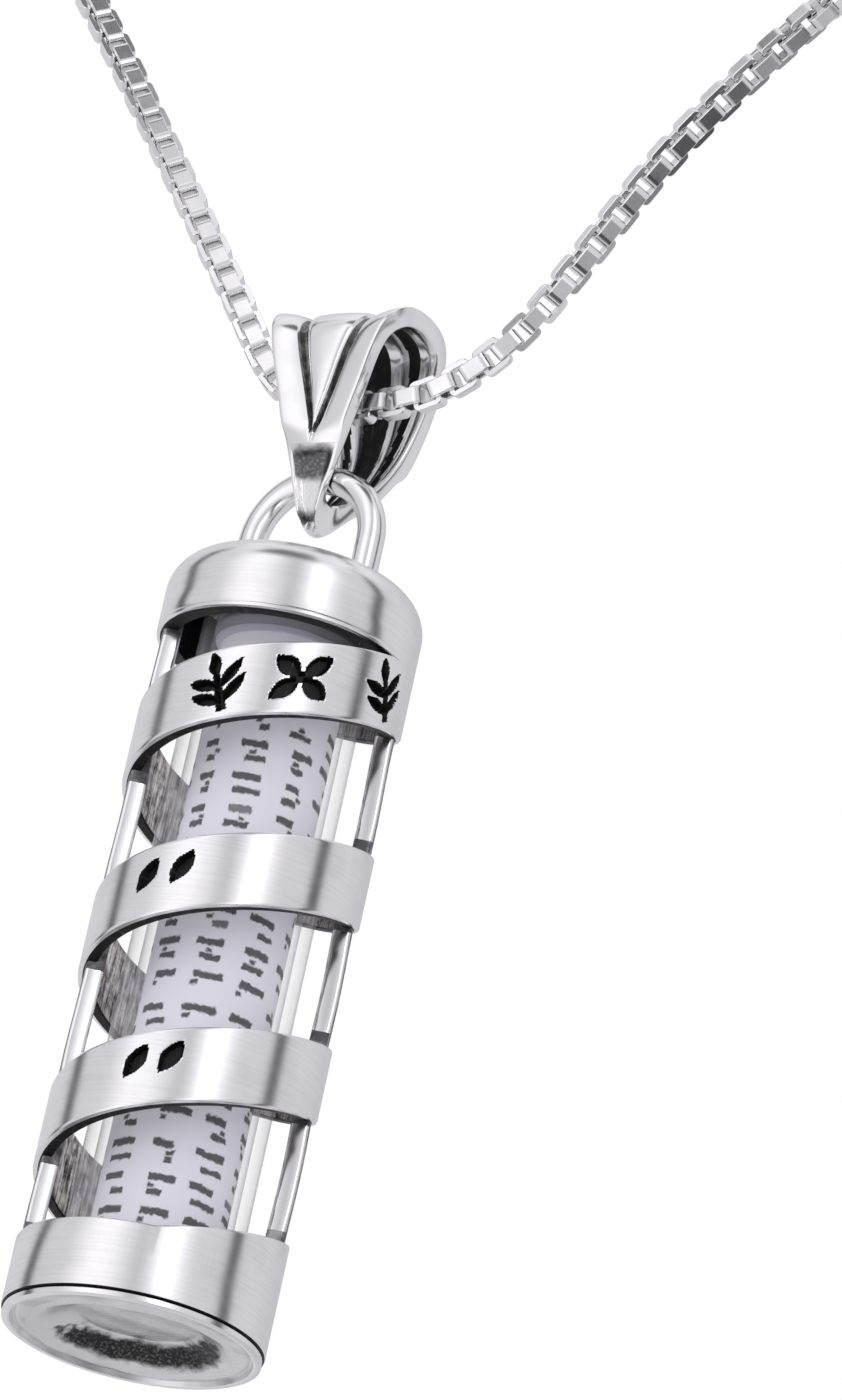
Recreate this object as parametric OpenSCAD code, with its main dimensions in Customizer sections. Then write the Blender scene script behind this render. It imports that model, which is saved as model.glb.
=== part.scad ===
/* [Case] */
// Outer diameter of the round case
case_d = 10; // [8:0.1:14]
// Height of the case from its top plane to the lip of the bottom dish
case_h = 31.2; // [27:0.2:40]
// Wall of the spiral sleeve
wall = 0.75; // [0.6:0.05:1]
// Radius of the rounded shoulder at the top
shoulder_r = 1.5; // [1:0.1:1.6]
// Height of the plain collar above the spiral
top_collar_h = 3.3; // [2.8:0.1:4.5]
// Height of the plain collar below the spiral
bottom_collar_h = 2.7; // [2:0.1:4]

/* [Spiral] */
// Height of the spiral band, measured along the case
band_h = 3.0; // [1.8:0.1:3.8]
// Rise of the spiral in one turn
pitch = 7.9; // [6.5:0.1:9.5]
// Bearing at which the slot begins under the top collar, from the +X side
slot_start = -2; // [-180:1:180]

/* [Stay bars] */
// Width of each stay bar, around the case
bar_w = 0.95; // [0.6:0.05:1.4]
// Thickness of each stay bar, towards the middle
bar_t = 0.75; // [0.5:0.05:0.9]
// Silver left outside a stay bar where it lies in the band
bar_skin = 0.2; // [0.15:0.05:0.4]
// Bearing of the left stay bar, from the +X side
left_bar_at = -143; // [-170:1:-110]
// Bearing of the right stay bar, from the +X side
right_bar_at = 29; // [0:1:60]

/* [Caps] */
// Thickness of the disc that closes the top
top_cap_t = 1.0; // [0.8:0.1:1.6]
// Thickness of the dish's lip under the sleeve
lip_t = 0.3; // [0.2:0.05:0.6]
// Height of the dish's plug inside the sleeve
plug_h = 1.4; // [1.2:0.1:2]
// Depth of the dished face below its lip
dish_depth = 0.25; // [0.2:0.05:0.5]
// Length of the oval well in the middle of the dish
well_l = 5.8; // [5:0.1:6.4]
// Width of the oval well
well_w = 4.6; // [2:0.1:4.8]
// Depth of the oval well below the dished face
well_depth = 0.75; // [0.3:0.05:0.85]

/* [Vial] */
// Outer diameter of the glass vial
vial_d = 6.7; // [5:0.1:6.8]
// Wall of the glass vial
vial_wall = 0.5; // [0.4:0.05:0.8]
// Length of the stopper in the vial's neck
stopper_h = 2; // [1.5:0.1:3]
// Gap between the rolled scroll and the inside of the vial
scroll_gap = 0.2; // [0.1:0.05:0.4]
// Diameter of the hollow in the middle of the scroll
scroll_bore = 2.4; // [1:0.1:3]
// Gap between the vial and what stands next to it
vial_gap = 0.1; // [0.05:0.05:0.3]

/* [Hanging loop] */
// Width of the loop over its wire
loop_w = 6.4; // [6:0.1:6.8]
// Diameter of the loop's wire
loop_wire_d = 1.1; // [0.8:0.05:1.1]
// Straight length of each leg below the arch
loop_leg = 1.75; // [1.4:0.05:3]

/* [Bail] */
// Width of the bail's strip at the top
bail_top_w = 5.7; // [4.4:0.1:6.8]
// Width of the bail's strip at the tip
bail_tip_w = 0.54; // [0.4:0.02:0.8]
// Gap between the bail and the loop's wire
bail_gap = 0.12; // [0.1:0.02:0.16]
// Height of the chain's middle above the middle of the loop's wire
chain_over_wire = 3.15; // [2.4:0.05:4.6]

/* [Chain] */
// Width of the chain
chain_d = 1.4; // [1:0.1:1.7]
// Wall of each end cap
end_cap_wall = 0.3; // [0.2:0.05:0.5]
// Depth of the socket in each end cap
end_cap_socket = 1.6; // [1:0.1:3]
// Wire of the jump rings
ring_wire_d = 0.55; // [0.4:0.05:0.6]
// Diameter of a jump ring, to the middle of its wire
ring_d = 2.6; // [2.4:0.1:3.4]
// Radius of the hole in the flat tag ring
tag_hole_r = 1.3; // [1:0.1:2]
// Width of metal around the tag ring's hole
tag_rim = 0.6; // [0.5:0.05:1]
// Thickness of the tag ring
tag_t = 0.6; // [0.4:0.05:0.8]

/* [Clasp] */
// Thickness of the clasp's body
clasp_t = 1.8; // [1.6:0.1:2.4]
// Thickness of the clasp's tail, round its eye
clasp_tail_t = 0.8; // [0.6:0.05:0.9]
// Width of the slot that holds the lever and its spring
clasp_slot = 1.1; // [0.9:0.05:1.2]
// Thickness of the lever
lever_t = 0.6; // [0.4:0.05:0.6]
// Radius of the lever's pin
pin_r = 0.28; // [0.2:0.02:0.32]
// Running clearance of the lever on its pin
pin_clearance = 0.03; // [0.02:0.01:0.06]
// Wire of the lever's spring
spring_wire_d = 0.16; // [0.1:0.02:0.18]

/* [Hidden] */
$fn = 64;

silver = [0.80, 0.80, 0.82];
steel = [0.70, 0.71, 0.73];
glass = [0.85, 0.90, 0.92, 0.4];
paper = [0.86, 0.85, 0.90];
cork = [0.78, 0.62, 0.42];

// Case
case_r = case_d / 2;
bore_r = case_r - wall;
sleeve_bottom = -(case_h - lip_t);
shoulder_in = case_r - shoulder_r;
seat_gap = 0.02;
arc_steps = 12;

// Height of the shoulder's curve at a distance r from the axis
function shoulder_z(r) = -shoulder_r + sqrt(pow(shoulder_r, 2) - pow(r - shoulder_in, 2));

// Spiral band: its faces lie just inside the collars' faces
band_sink = 0.02;
band_in = bore_r + band_sink;
band_out = case_r - band_sink;
band_step = 6;
band_high = -(shoulder_r + 0.1);
band_low = sleeve_bottom + 0.8;
band_bite = 0.6;
band_first = slot_start + 360 * (top_collar_h + band_high - band_bite + band_h) / pitch;
band_last = slot_start + 360 * (top_collar_h + band_low + band_bite) / pitch;
band_rings = ceil((band_first - band_last) / band_step);

function band_top(a) = -top_collar_h + pitch * (a - slot_start) / 360;

function band_ring(a) =
    let (
        high = min(band_top(a), band_high),
        low = max(band_top(a) - band_h, band_low)
    )
    [
        for (corner = [[band_in, low], [band_out, low], [band_out, high], [band_in, high]])
            [corner[0] * cos(a), corner[0] * sin(a), corner[1]]
    ];

// Stay bars
bar_out = case_r - bar_skin;
bar_in = bar_out - bar_t;
bar_top = -top_cap_t - seat_gap;
bar_bottom = sleeve_bottom + plug_h + seat_gap;

// Vial
vial_r = vial_d / 2;
vial_top = -(top_cap_t + vial_gap);
vial_bottom = bar_bottom + vial_gap;
vial_floor_t = 0.8;
scroll_r = vial_r - vial_wall - scroll_gap;
scroll_bottom = vial_bottom + vial_floor_t + vial_gap;
scroll_top = vial_top - stopper_h - vial_gap;

// Hanging loop
loop_r = (loop_w - loop_wire_d) / 2;
loop_top = loop_leg + loop_r;
chain_rise = loop_top + chain_over_wire;

// Bail: side outlines as points [y, z], from the middle of the loop's wire
bail_seat = loop_wire_d / 2 + bail_gap;
bail_outside = [
    [-0.3, -2.4], [-0.75, -1.65], [-1, -0.65], [-1.12, 0.15], [-1.5, 1.55], [-1.75, 3.15],
    [-2, 4.75], [-1.9, 5.85], [-1.1, 6.6], [0.1, 6.85], [1.4, 6.7], [2.3, 6.05],
    [2.95, 4.75], [3.2, 3.25], [3.15, 1.85], [2.55, 0.35], [1.3, -1.15], [0.4, -2.15]
];
bail_inside = [
    [0.15, -bail_seat - 0.25], [-0.35, -bail_seat - 0.15], [-bail_seat, -0.3],
    [-bail_seat - 0.1, 0.55], [-1.05, 1.65], [-1.3, 3.15],
    [-1.54, 4.75], [-1.45, 5.6], [-0.9, 6.15], [0.1, 6.4], [1.2, 6.25], [1.92, 5.7],
    [2.5, 4.6], [2.74, 3.25], [2.68, 2], [2.15, 0.65], [1.2, -0.45],
    [bail_seat, -bail_seat - 0.15]
];
bail_tip_z = -2.5;
bail_top_z = 7;
curve_steps = 4;

// Point at share t of the way from b to c on a smooth curve through a, b, c and d
function curve_point(a, b, c, d, t) =
    0.5 * (
        2 * b + (c - a) * t + (2 * a - 5 * b + 4 * c - d) * t * t
        + (3 * b - a - 3 * c + d) * t * t * t
    );

function closed_curve(points, steps) =
    let (n = len(points))
    [
        for (i = [0 : n - 1], s = [0 : steps - 1])
            curve_point(
                points[(i + n - 1) % n], points[i], points[(i + 1) % n],
                points[(i + 2) % n], s / steps
            )
    ];

// Chain: points along its middle
chain_route = [
    [-18.4, 0, 22.2], [-16.2, 0, 19.2], [-14.1, 0, 16.4], [-12, 0, 13.5], [-9.9, 0, 10.6],
    [-7.9, 0, 7.8], [-6.1, 0, 5.3], [-4.7, 0, 3.3], [-3.5, 0, 1.7], [-2, 0, 0.5],
    [0, 0, 0], [1.9, 0, 0.05], [3.9, 0, 0.45], [5.8, 0, 1.5], [7.5, 0, 3.1],
    [9, 0, 5.3], [10.6, 0, 7.9], [12.1, 0, 10.2], [13.6, 0, 12.1], [15.7, 0, 14.4],
    [18, 0, 16.7], [20.3, 0, 19]
];
chain_sides = 8;
chain_end = len(chain_route) - 1;
left_lean = lean(chain_route[0] - chain_route[1]);
right_lean = lean(chain_route[chain_end] - chain_route[chain_end - 1]);

// Tilt from upright of a direction in the XZ plane
function lean(way) = atan2(way[0], way[2]);

function route_way(i) =
    let (
        a = chain_route[max(i - 1, 0)],
        b = chain_route[min(i + 1, chain_end)]
    )
    (b - a) / norm(b - a);

function chain_ring(i) =
    let (way = route_way(i), across = [-way[2], 0, way[0]])
    [
        for (s = [0 : chain_sides - 1])
            let (a = 360 * s / chain_sides)
            chain_route[i] + chain_d / 2 * (cos(a) * across + sin(a) * [0, 1, 0])
    ];

// End caps and rings: z runs outwards along the chain from its end
end_cap_r = chain_d / 2 + end_cap_wall;
end_cap_back = 0.4;
eye_hole_r = 0.45;
eye_r = 0.85;
eye_t = 0.7;
eye_sink = 0.2;
eye_at = end_cap_back + eye_r - eye_sink;
ring_at = eye_at + ring_d / 2;
tail_at = ring_at + ring_d / 2;
tag_at = tail_at + eye_r + tag_hole_r + tag_rim - eye_sink;

// Clasp: side outlines as points [x, z], z from the middle of its tail eye
clasp_outside = [
    [0, -0.9], [0.9, -0.3], [1.2, 0.9], [1.8, 1.8], [2.3, 3], [2.5, 4.6], [2.2, 6.2],
    [1.3, 7.5], [0, 8], [-1.3, 7.5], [-2.2, 6.2], [-2.45, 4.5], [-2.1, 2.8],
    [-1.5, 1.5], [-1.1, 0.5], [-0.8, -0.4]
];
clasp_inside = [
    [-0.2, 2.4], [0.5, 2.5], [1.2, 3.4], [1.5, 4.6], [1.3, 5.8], [0.7, 6.6], [0, 6.8],
    [-0.8, 6.5], [-1.3, 5.6], [-1.45, 4.4], [-1.1, 3.2]
];
mouth_from = 0.6;
mouth_low = 2.9;
mouth_high = 5.9;
pivot = [1.05, 1.9];
boss_r = 0.62;
lever_arm = [
    [0.6, 2.1], [1.0, 3.4], [1.1, 4.6], [1.0, 5.8], [1.7, 5.8], [1.85, 4.8],
    [1.85, 3.9], [2.95, 3.6], [3, 3.1], [1.8, 3], [1.5, 1.9]
];
slot_from = 0.2;
slot_low = 1.1;
clasp_reach = 3;
tail_top = 0.6;
slot_y = clasp_slot / 2;
lever_y = -slot_y + 0.08;
spring_at = slot_y - 0.3;
spring_r = pin_r + 0.18;

// A ring of round wire about the Z axis
module wire_ring(radius, wire_d) {
    rotate_extrude() translate([radius, 0]) circle(d = wire_d, $fn = 32);
}

// A round bar through the XZ plane, centred on it
module cross_bar(radius, length) {
    rotate([90, 0, 0]) cylinder(r = radius, h = length, center = true);
}

// Tube from one height to another
module tube(outer_r, inner_r, low, high) {
    translate([0, 0, low])
        difference() {
            cylinder(r = outer_r, h = high - low);
            translate([0, 0, -1]) cylinder(r = inner_r, h = high - low + 2);
        }
}

// Pieces of the case are drawn from the middle of its top plane
module at_case() {
    translate([0, 0, -chain_rise]) children();
}

// Pieces at the chain's ends are drawn with +Z outwards along the chain
module at_left_end() {
    translate(chain_route[0]) rotate([0, left_lean, 0]) children();
}

module at_right_end() {
    translate(chain_route[chain_end]) rotate([0, right_lean, 0]) children();
}

// Top collar with its rounded shoulder
module top_collar() {
    rotate_extrude()
        polygon(concat(
            [[bore_r, -top_collar_h], [case_r, -top_collar_h]],
            [
                for (i = [0 : arc_steps])
                    let (r = case_r - wall * pow(i / arc_steps, 2))
                    [r, shoulder_z(r)]
            ]
        ));
}

// Band wound in one helix from collar to collar
module spiral_band() {
    rings = [for (i = [0 : band_rings]) band_ring(band_first - i * band_step)];
    last = 4 * band_rings;
    polyhedron(
        points = [for (ring = rings, point = ring) point],
        faces = concat(
            [[0, 1, 2, 3]],
            [
                for (i = [0 : band_rings - 1], s = [0 : 3])
                    let (k = 4 * i + s, next = 4 * i + (s + 1) % 4)
                    for (face = [[k, k + 4, next], [next, k + 4, next + 4]]) face
            ],
            [[last + 3, last + 2, last + 1, last]]
        )
    );
}

module bar_shape(bearing, gap, low, high) {
    rotate([0, 0, bearing])
        translate([bar_in - gap, -bar_w / 2 - gap, low])
            cube([bar_t + 2 * gap, bar_w + 2 * gap, high - low]);
}

module spiral_sleeve() {
    color(silver)
        at_case()
            difference() {
                union() {
                    top_collar();
                    spiral_band();
                    tube(case_r, bore_r, sleeve_bottom, sleeve_bottom + bottom_collar_h);
                }
                for (bearing = [left_bar_at, right_bar_at])
                    bar_shape(bearing, seat_gap, sleeve_bottom - 1, bar_top + seat_gap);
            }
}

// Disc that closes the top and carries on the shoulder's curve
module top_cap() {
    cap_r = bore_r - seat_gap;
    color(silver)
        at_case()
            rotate_extrude()
                polygon(concat(
                    [[0, -top_cap_t], [cap_r, -top_cap_t]],
                    [
                        for (i = [0 : arc_steps])
                            let (r = cap_r - (cap_r - shoulder_in) * i / arc_steps)
                            [r, shoulder_z(r)]
                    ],
                    [[0, 0]]
                ));
}

module hanging_loop() {
    color(silver)
        at_case() {
            translate([0, 0, loop_leg])
                rotate([90, 0, 0])
                    rotate_extrude(angle = 180)
                        translate([loop_r, 0]) circle(d = loop_wire_d, $fn = 32);
            for (side = [-1, 1])
                translate([side * loop_r, 0, 0]) cylinder(d = loop_wire_d, h = loop_leg, $fn = 32);
        }
}

module stay_bar(bearing) {
    color(silver) at_case() bar_shape(bearing, 0, bar_bottom, bar_top);
}

// Oval cutter for the well
module oval(length, width, depth) {
    linear_extrude(depth)
        union() {
            square([length - width, width], center = true);
            for (side = [-1, 1])
                translate([side * (length - width) / 2, 0]) circle(d = width);
        }
}

// Pressed plug with a lip, a dished face and an oval well
module bottom_dish() {
    plug_r = bore_r - seat_gap;
    lip_r = case_r - 0.1;
    rim_in = lip_r - 0.35;
    bottom = -case_h;
    color(silver)
        at_case()
            difference() {
                rotate_extrude()
                    polygon([
                        [0, bottom + dish_depth], [rim_in - 0.9, bottom + dish_depth],
                        [rim_in - 0.25, bottom + dish_depth / 2], [rim_in, bottom],
                        [lip_r - 0.1, bottom], [lip_r, bottom + 0.1],
                        [lip_r, sleeve_bottom], [plug_r, sleeve_bottom],
                        [plug_r, sleeve_bottom + plug_h], [0, sleeve_bottom + plug_h]
                    ]);
                translate([0, 0, bottom - 1])
                    rotate([0, 0, right_bar_at])
                        oval(well_l, well_w, 1 + dish_depth + well_depth);
            }
}

module glass_vial() {
    color(glass)
        at_case()
            difference() {
                translate([0, 0, vial_bottom])
                    cylinder(r = vial_r, h = vial_top - vial_bottom);
                translate([0, 0, vial_bottom + vial_floor_t])
                    cylinder(r = vial_r - vial_wall, h = vial_top - vial_bottom);
            }
}

module vial_stopper() {
    color(cork)
        at_case()
            translate([0, 0, vial_top - stopper_h])
                cylinder(r = vial_r - vial_wall - seat_gap, h = stopper_h);
}

module scroll() {
    color(paper) at_case() tube(scroll_r, scroll_bore / 2, scroll_bottom, scroll_top);
}

// Strip folded over the chain and closed below the loop's wire
module bail() {
    half_depth = 6;
    color(silver)
        translate([0, 0, -chain_over_wire])
            intersection() {
                rotate([90, 0, 90])
                    translate([0, 0, -bail_top_w])
                        linear_extrude(2 * bail_top_w)
                            difference() {
                                polygon(closed_curve(bail_outside, curve_steps));
                                polygon(closed_curve(bail_inside, curve_steps));
                            }
                rotate([90, 0, 0])
                    translate([0, 0, -half_depth])
                        linear_extrude(2 * half_depth)
                            polygon([
                                [-bail_tip_w / 2, bail_tip_z], [bail_tip_w / 2, bail_tip_z],
                                [bail_top_w / 2, bail_top_z], [-bail_top_w / 2, bail_top_z]
                            ]);
            }
}

module chain() {
    last = chain_end * chain_sides;
    color(silver)
        polyhedron(
            points = [for (i = [0 : chain_end], point = chain_ring(i)) point],
            faces = concat(
                [[for (s = [0 : chain_sides - 1]) s]],
                [
                    for (i = [0 : chain_end - 1], s = [0 : chain_sides - 1])
                        let (
                            k = i * chain_sides + s,
                            next = i * chain_sides + (s + 1) % chain_sides
                        )
                        for (face = [[k, k + chain_sides, next],
                                     [next, k + chain_sides, next + chain_sides]]) face
                ],
                [[for (s = [chain_sides - 1 : -1 : 0]) last + s]]
            )
        );
}

// Crimped cap on the chain's end, with an eye for a jump ring
module end_cap() {
    color(silver)
        difference() {
            union() {
                translate([0, 0, -end_cap_socket])
                    cylinder(r = end_cap_r, h = end_cap_socket + end_cap_back);
                translate([0, 0, eye_at]) cross_bar(eye_r, eye_t);
            }
            translate([0, 0, -end_cap_socket - 1])
                cylinder(r = chain_d / 2, h = end_cap_socket + 1);
            translate([0, 0, eye_at]) cross_bar(eye_hole_r, 2 * eye_t);
        }
}

module jump_ring() {
    color(silver)
        translate([0, 0, ring_at]) rotate([0, 90, 0]) wire_ring(ring_d / 2, ring_wire_d);
}

// Flat ring that the clasp hooks into, with a small eye for its jump ring
module tag_ring() {
    color(silver)
        difference() {
            union() {
                translate([0, 0, tail_at]) cross_bar(eye_r, tag_t);
                translate([0, 0, tag_at]) cross_bar(tag_hole_r + tag_rim, tag_t);
            }
            translate([0, 0, tail_at]) cross_bar(eye_hole_r, 2 * tag_t);
            translate([0, 0, tag_at]) cross_bar(tag_hole_r, 2 * tag_t);
        }
}

module side_plate(points, thickness, steps = 1) {
    rotate([90, 0, 0])
        linear_extrude(thickness, center = true)
            polygon(steps > 1 ? closed_curve(points, steps) : points);
}

module clasp_body() {
    color(silver)
        translate([0, 0, tail_at])
            difference() {
                side_plate(clasp_outside, clasp_t, curve_steps);
                side_plate(clasp_inside, 2 * clasp_t, curve_steps);
                translate([mouth_from, -clasp_t, mouth_low])
                    cube([clasp_reach, 2 * clasp_t, mouth_high - mouth_low]);
                translate([slot_from, -slot_y, slot_low])
                    cube([clasp_reach, clasp_slot, mouth_high - slot_low]);
                for (side = [-1, 1])
                    translate([0, side * (clasp_tail_t + clasp_t) / 2, tail_top - clasp_reach / 2])
                        cube([2 * clasp_reach, clasp_t, clasp_reach], center = true);
                translate([pivot[0], 0, pivot[1]]) cross_bar(pin_r, 2 * clasp_t);
                cross_bar(eye_hole_r, 2 * clasp_t);
            }
}

module clasp_lever() {
    color(silver)
        translate([0, lever_y + lever_t / 2, tail_at])
            difference() {
                union() {
                    side_plate(lever_arm, lever_t);
                    translate([pivot[0], 0, pivot[1]]) cross_bar(boss_r, lever_t);
                }
                translate([pivot[0], 0, pivot[1]])
                    cross_bar(pin_r + pin_clearance, 2 * lever_t);
            }
}

module clasp_pin() {
    color(steel)
        translate([pivot[0], 0, tail_at + pivot[1]]) cross_bar(pin_r, clasp_t);
}

// Two turns of the lever's spring round the pin
module clasp_spring() {
    color(steel)
        for (turn = [0, 1])
            translate([pivot[0], spring_at + turn * 0.9 * spring_wire_d, tail_at + pivot[1]])
                rotate([90, 0, 0]) wire_ring(spring_r, spring_wire_d);
}

spiral_sleeve();
top_cap();
hanging_loop();
stay_bar(left_bar_at);  // stay_bar_left
stay_bar(right_bar_at);  // stay_bar_right
bottom_dish();
glass_vial();
vial_stopper();
scroll();
bail();
chain();
at_left_end() end_cap();  // left_end_cap
at_right_end() end_cap();  // right_end_cap
at_left_end() jump_ring();  // left_jump_ring
at_right_end() jump_ring();  // right_jump_ring
at_right_end() tag_ring();
at_left_end() clasp_body();
at_left_end() clasp_lever();
at_left_end() clasp_pin();
at_left_end() clasp_spring();
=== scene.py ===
"""Looks of a silver scroll pendant on a box chain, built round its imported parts."""

import logging
import math
from dataclasses import dataclass, field
from enum import Enum
from typing import Callable, Sequence

import bmesh
import bpy
from mathutils import Matrix, Vector


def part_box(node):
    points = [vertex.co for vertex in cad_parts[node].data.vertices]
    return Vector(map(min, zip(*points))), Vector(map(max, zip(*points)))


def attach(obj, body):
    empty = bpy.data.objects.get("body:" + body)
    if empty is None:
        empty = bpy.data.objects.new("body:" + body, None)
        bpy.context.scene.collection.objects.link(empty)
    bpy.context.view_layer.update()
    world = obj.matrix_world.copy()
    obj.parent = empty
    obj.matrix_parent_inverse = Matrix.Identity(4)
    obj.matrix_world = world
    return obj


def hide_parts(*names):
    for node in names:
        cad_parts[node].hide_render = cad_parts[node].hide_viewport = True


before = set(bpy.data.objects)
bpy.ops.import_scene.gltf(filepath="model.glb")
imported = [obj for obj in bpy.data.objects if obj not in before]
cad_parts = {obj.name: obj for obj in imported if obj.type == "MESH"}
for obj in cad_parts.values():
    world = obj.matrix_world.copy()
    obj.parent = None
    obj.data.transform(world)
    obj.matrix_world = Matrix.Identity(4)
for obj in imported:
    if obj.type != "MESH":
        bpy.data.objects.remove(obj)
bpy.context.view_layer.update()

LOG = logging.getLogger("pendant")
MM = 0.001
CAMERA_BEARING = 33.0
CHAIN_ROUTE = (
    (-18.4, 22.2), (-16.2, 19.2), (-14.1, 16.4), (-12, 13.5), (-9.9, 10.6), (-7.9, 7.8),
    (-6.1, 5.3), (-4.7, 3.3), (-3.5, 1.7), (-2, 0.5), (0, 0), (1.9, 0.05), (3.9, 0.45),
    (5.8, 1.5), (7.5, 3.1), (9, 5.3), (10.6, 7.9), (12.1, 10.2), (13.6, 12.1),
    (15.7, 14.4), (18, 16.7), (20.3, 19),
)


class Body(Enum):
    """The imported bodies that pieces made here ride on."""

    CHAIN = "chain"
    BAIL = "bail"
    CASE = "case"


class Slot(Enum):
    """The record's material slots of the pieces made here."""

    SLEEVE = "sleeve_silver"
    WIRE = "wire_silver"
    BAR = "bar_silver"
    CAST = "cast_silver"
    BAIL = "bail_silver"
    CHAIN = "chain_silver"
    GLASS = "clear_glass"
    STOPPER = "stopper_plastic"
    SCROLL = "scroll_paper"


class Grain(Enum):
    """Which way the polishing lines of a metal run."""

    ROUND = "round the case"
    FINE = "no direction"


class Motif(Enum):
    """Ornaments sunk into the spiral band."""

    QUATREFOIL = "four leaves round a dot"
    SPRAY = "tilted sprig of five leaves"
    SEED = "one slanting seed"


# ---------------------------------------------------------------------------
# Shader building
# ---------------------------------------------------------------------------


@dataclass(frozen=True)
class Wire:
    """One value socket, with arithmetic that adds Math nodes."""

    graph: "Graph"
    socket: bpy.types.NodeSocket

    def math(self, operation: str, *others: "Wire | float") -> "Wire":
        """Adds a Math node fed by this value.

        Args:
            operation: The Math node's operation.
            others: The remaining operands.

        Returns:
            The node's result.
        """
        inputs = {0: self}
        inputs.update({i + 1: other for i, other in enumerate(others)})
        return self.graph.value("ShaderNodeMath", {"operation": operation}, inputs)

    def __add__(self, other: "Wire | float") -> "Wire":
        """Sum."""
        return self.math("ADD", other)

    def __radd__(self, other: float) -> "Wire":
        """Sum with a number first."""
        return self.math("ADD", other)

    def __sub__(self, other: "Wire | float") -> "Wire":
        """Difference."""
        return self.math("SUBTRACT", other)

    def __rsub__(self, other: float) -> "Wire":
        """Difference with a number first."""
        return self.graph.value(
            "ShaderNodeMath", {"operation": "SUBTRACT"}, {0: other, 1: self}
        )

    def __mul__(self, other: "Wire | float") -> "Wire":
        """Product."""
        return self.math("MULTIPLY", other)

    def __rmul__(self, other: float) -> "Wire":
        """Product with a number first."""
        return self.math("MULTIPLY", other)

    def __truediv__(self, other: "Wire | float") -> "Wire":
        """Quotient."""
        return self.math("DIVIDE", other)

    def ramp(self, low: float, high: float) -> "Wire":
        """Smooth step from 0 at low to 1 at high."""
        return self.graph.value(
            "ShaderNodeMapRange",
            {"interpolation_type": "SMOOTHSTEP"},
            {"Value": self, "From Min": low, "From Max": high},
        )

    def window(self, low: float, high: float, soft: float) -> "Wire":
        """Mask that is 1 between low and high, with soft edges."""
        return self.ramp(low - soft, low + soft) * (1 - self.ramp(high - soft, high + soft))


class Graph:
    """A node tree that is filled by calls."""

    def __init__(self, tree: bpy.types.NodeTree) -> None:
        """Empties the tree and keeps it."""
        self.tree = tree
        tree.nodes.clear()

    def node(
        self,
        kind: str,
        settings: dict[str, object] | None = None,
        inputs: dict[str | int, object] | None = None,
    ) -> bpy.types.Node:
        """Adds any node.

        Args:
            kind: The node's type name.
            settings: Properties that are set first.
            inputs: Values or links by socket name or number.

        Returns:
            The new node.
        """
        made = self.tree.nodes.new(kind)
        for name, value in (settings or {}).items():
            setattr(made, name, value)
        for name, value in (inputs or {}).items():
            self.feed(made.inputs[name], value)
        return made

    def feed(self, target: bpy.types.NodeSocket, value: object) -> None:
        """Links a wire or a socket to a target, or sets a constant on it."""
        if isinstance(value, Wire):
            self.tree.links.new(value.socket, target)
        elif isinstance(value, bpy.types.NodeSocket):
            self.tree.links.new(value, target)
        else:
            target.default_value = value

    def value(
        self,
        kind: str,
        settings: dict[str, object] | None = None,
        inputs: dict[str | int, object] | None = None,
        output: str | int = 0,
    ) -> Wire:
        """Adds a node and returns one of its outputs as a wire."""
        return Wire(self, self.node(kind, settings, inputs).outputs[output])

    def mix(self, share: Wire | float, low: object, high: object) -> Wire:
        """Blends two colours."""
        made = self.node("ShaderNodeMix", {"data_type": "RGBA"}, {"Factor": share})
        self.feed(made.inputs[6], low)
        self.feed(made.inputs[7], high)
        return Wire(self, made.outputs[2])

    def place(self) -> tuple[Wire, Wire, Wire, Wire]:
        """Position on the piece in millimetres.

        Returns:
            The position vector and its three parts.
        """
        spot = self.value("ShaderNodeTexCoord", output="Object")
        scaled = self.scaled(spot, 1 / MM)
        parts = self.node("ShaderNodeSeparateXYZ", None, {0: scaled})
        x, y, z = (Wire(self, out) for out in parts.outputs)
        return scaled, x, y, z

    def join(self, x: Wire | float, y: Wire | float, z: Wire | float) -> Wire:
        """Vector from three parts."""
        return self.value("ShaderNodeCombineXYZ", None, {0: x, 1: y, 2: z})

    def noise(self, at: Wire, scale: float, detail: float = 3.0) -> Wire:
        """Value noise from 0 to 1."""
        return self.value(
            "ShaderNodeTexNoise",
            None,
            {"Vector": at, "Scale": scale, "Detail": detail, "Roughness": 0.6},
        )

    def scaled(self, vector: Wire, by: float) -> Wire:
        """Vector times a number."""
        return self.value("ShaderNodeVectorMath", {"operation": "SCALE"}, {0: vector, "Scale": by})

    def dot(self, vector: Wire, way: tuple[float, float, float]) -> Wire:
        """How far a vector reaches in a direction."""
        return self.value(
            "ShaderNodeVectorMath", {"operation": "DOT_PRODUCT"}, {0: vector, 1: way}, "Value"
        )

    def bump(self, height: Wire, depth: float, strength: float) -> Wire:
        """Relief of a height mask, with its depth in millimetres."""
        return self.value(
            "ShaderNodeBump", None,
            {"Strength": strength, "Distance": depth * MM, "Height": height},
        )

    def principled(self, inputs: dict[str, object]) -> bpy.types.NodeSocket:
        """Adds the surface shader and returns its output."""
        return self.node("ShaderNodeBsdfPrincipled", None, inputs).outputs[0]


def grey(level: float, warmth: float = 0.0) -> tuple[float, float, float, float]:
    """Opaque grey, a little warm above 0 and a little cool below."""
    return (level * (1 + warmth), level, level * (1 - warmth), 1.0)


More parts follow.
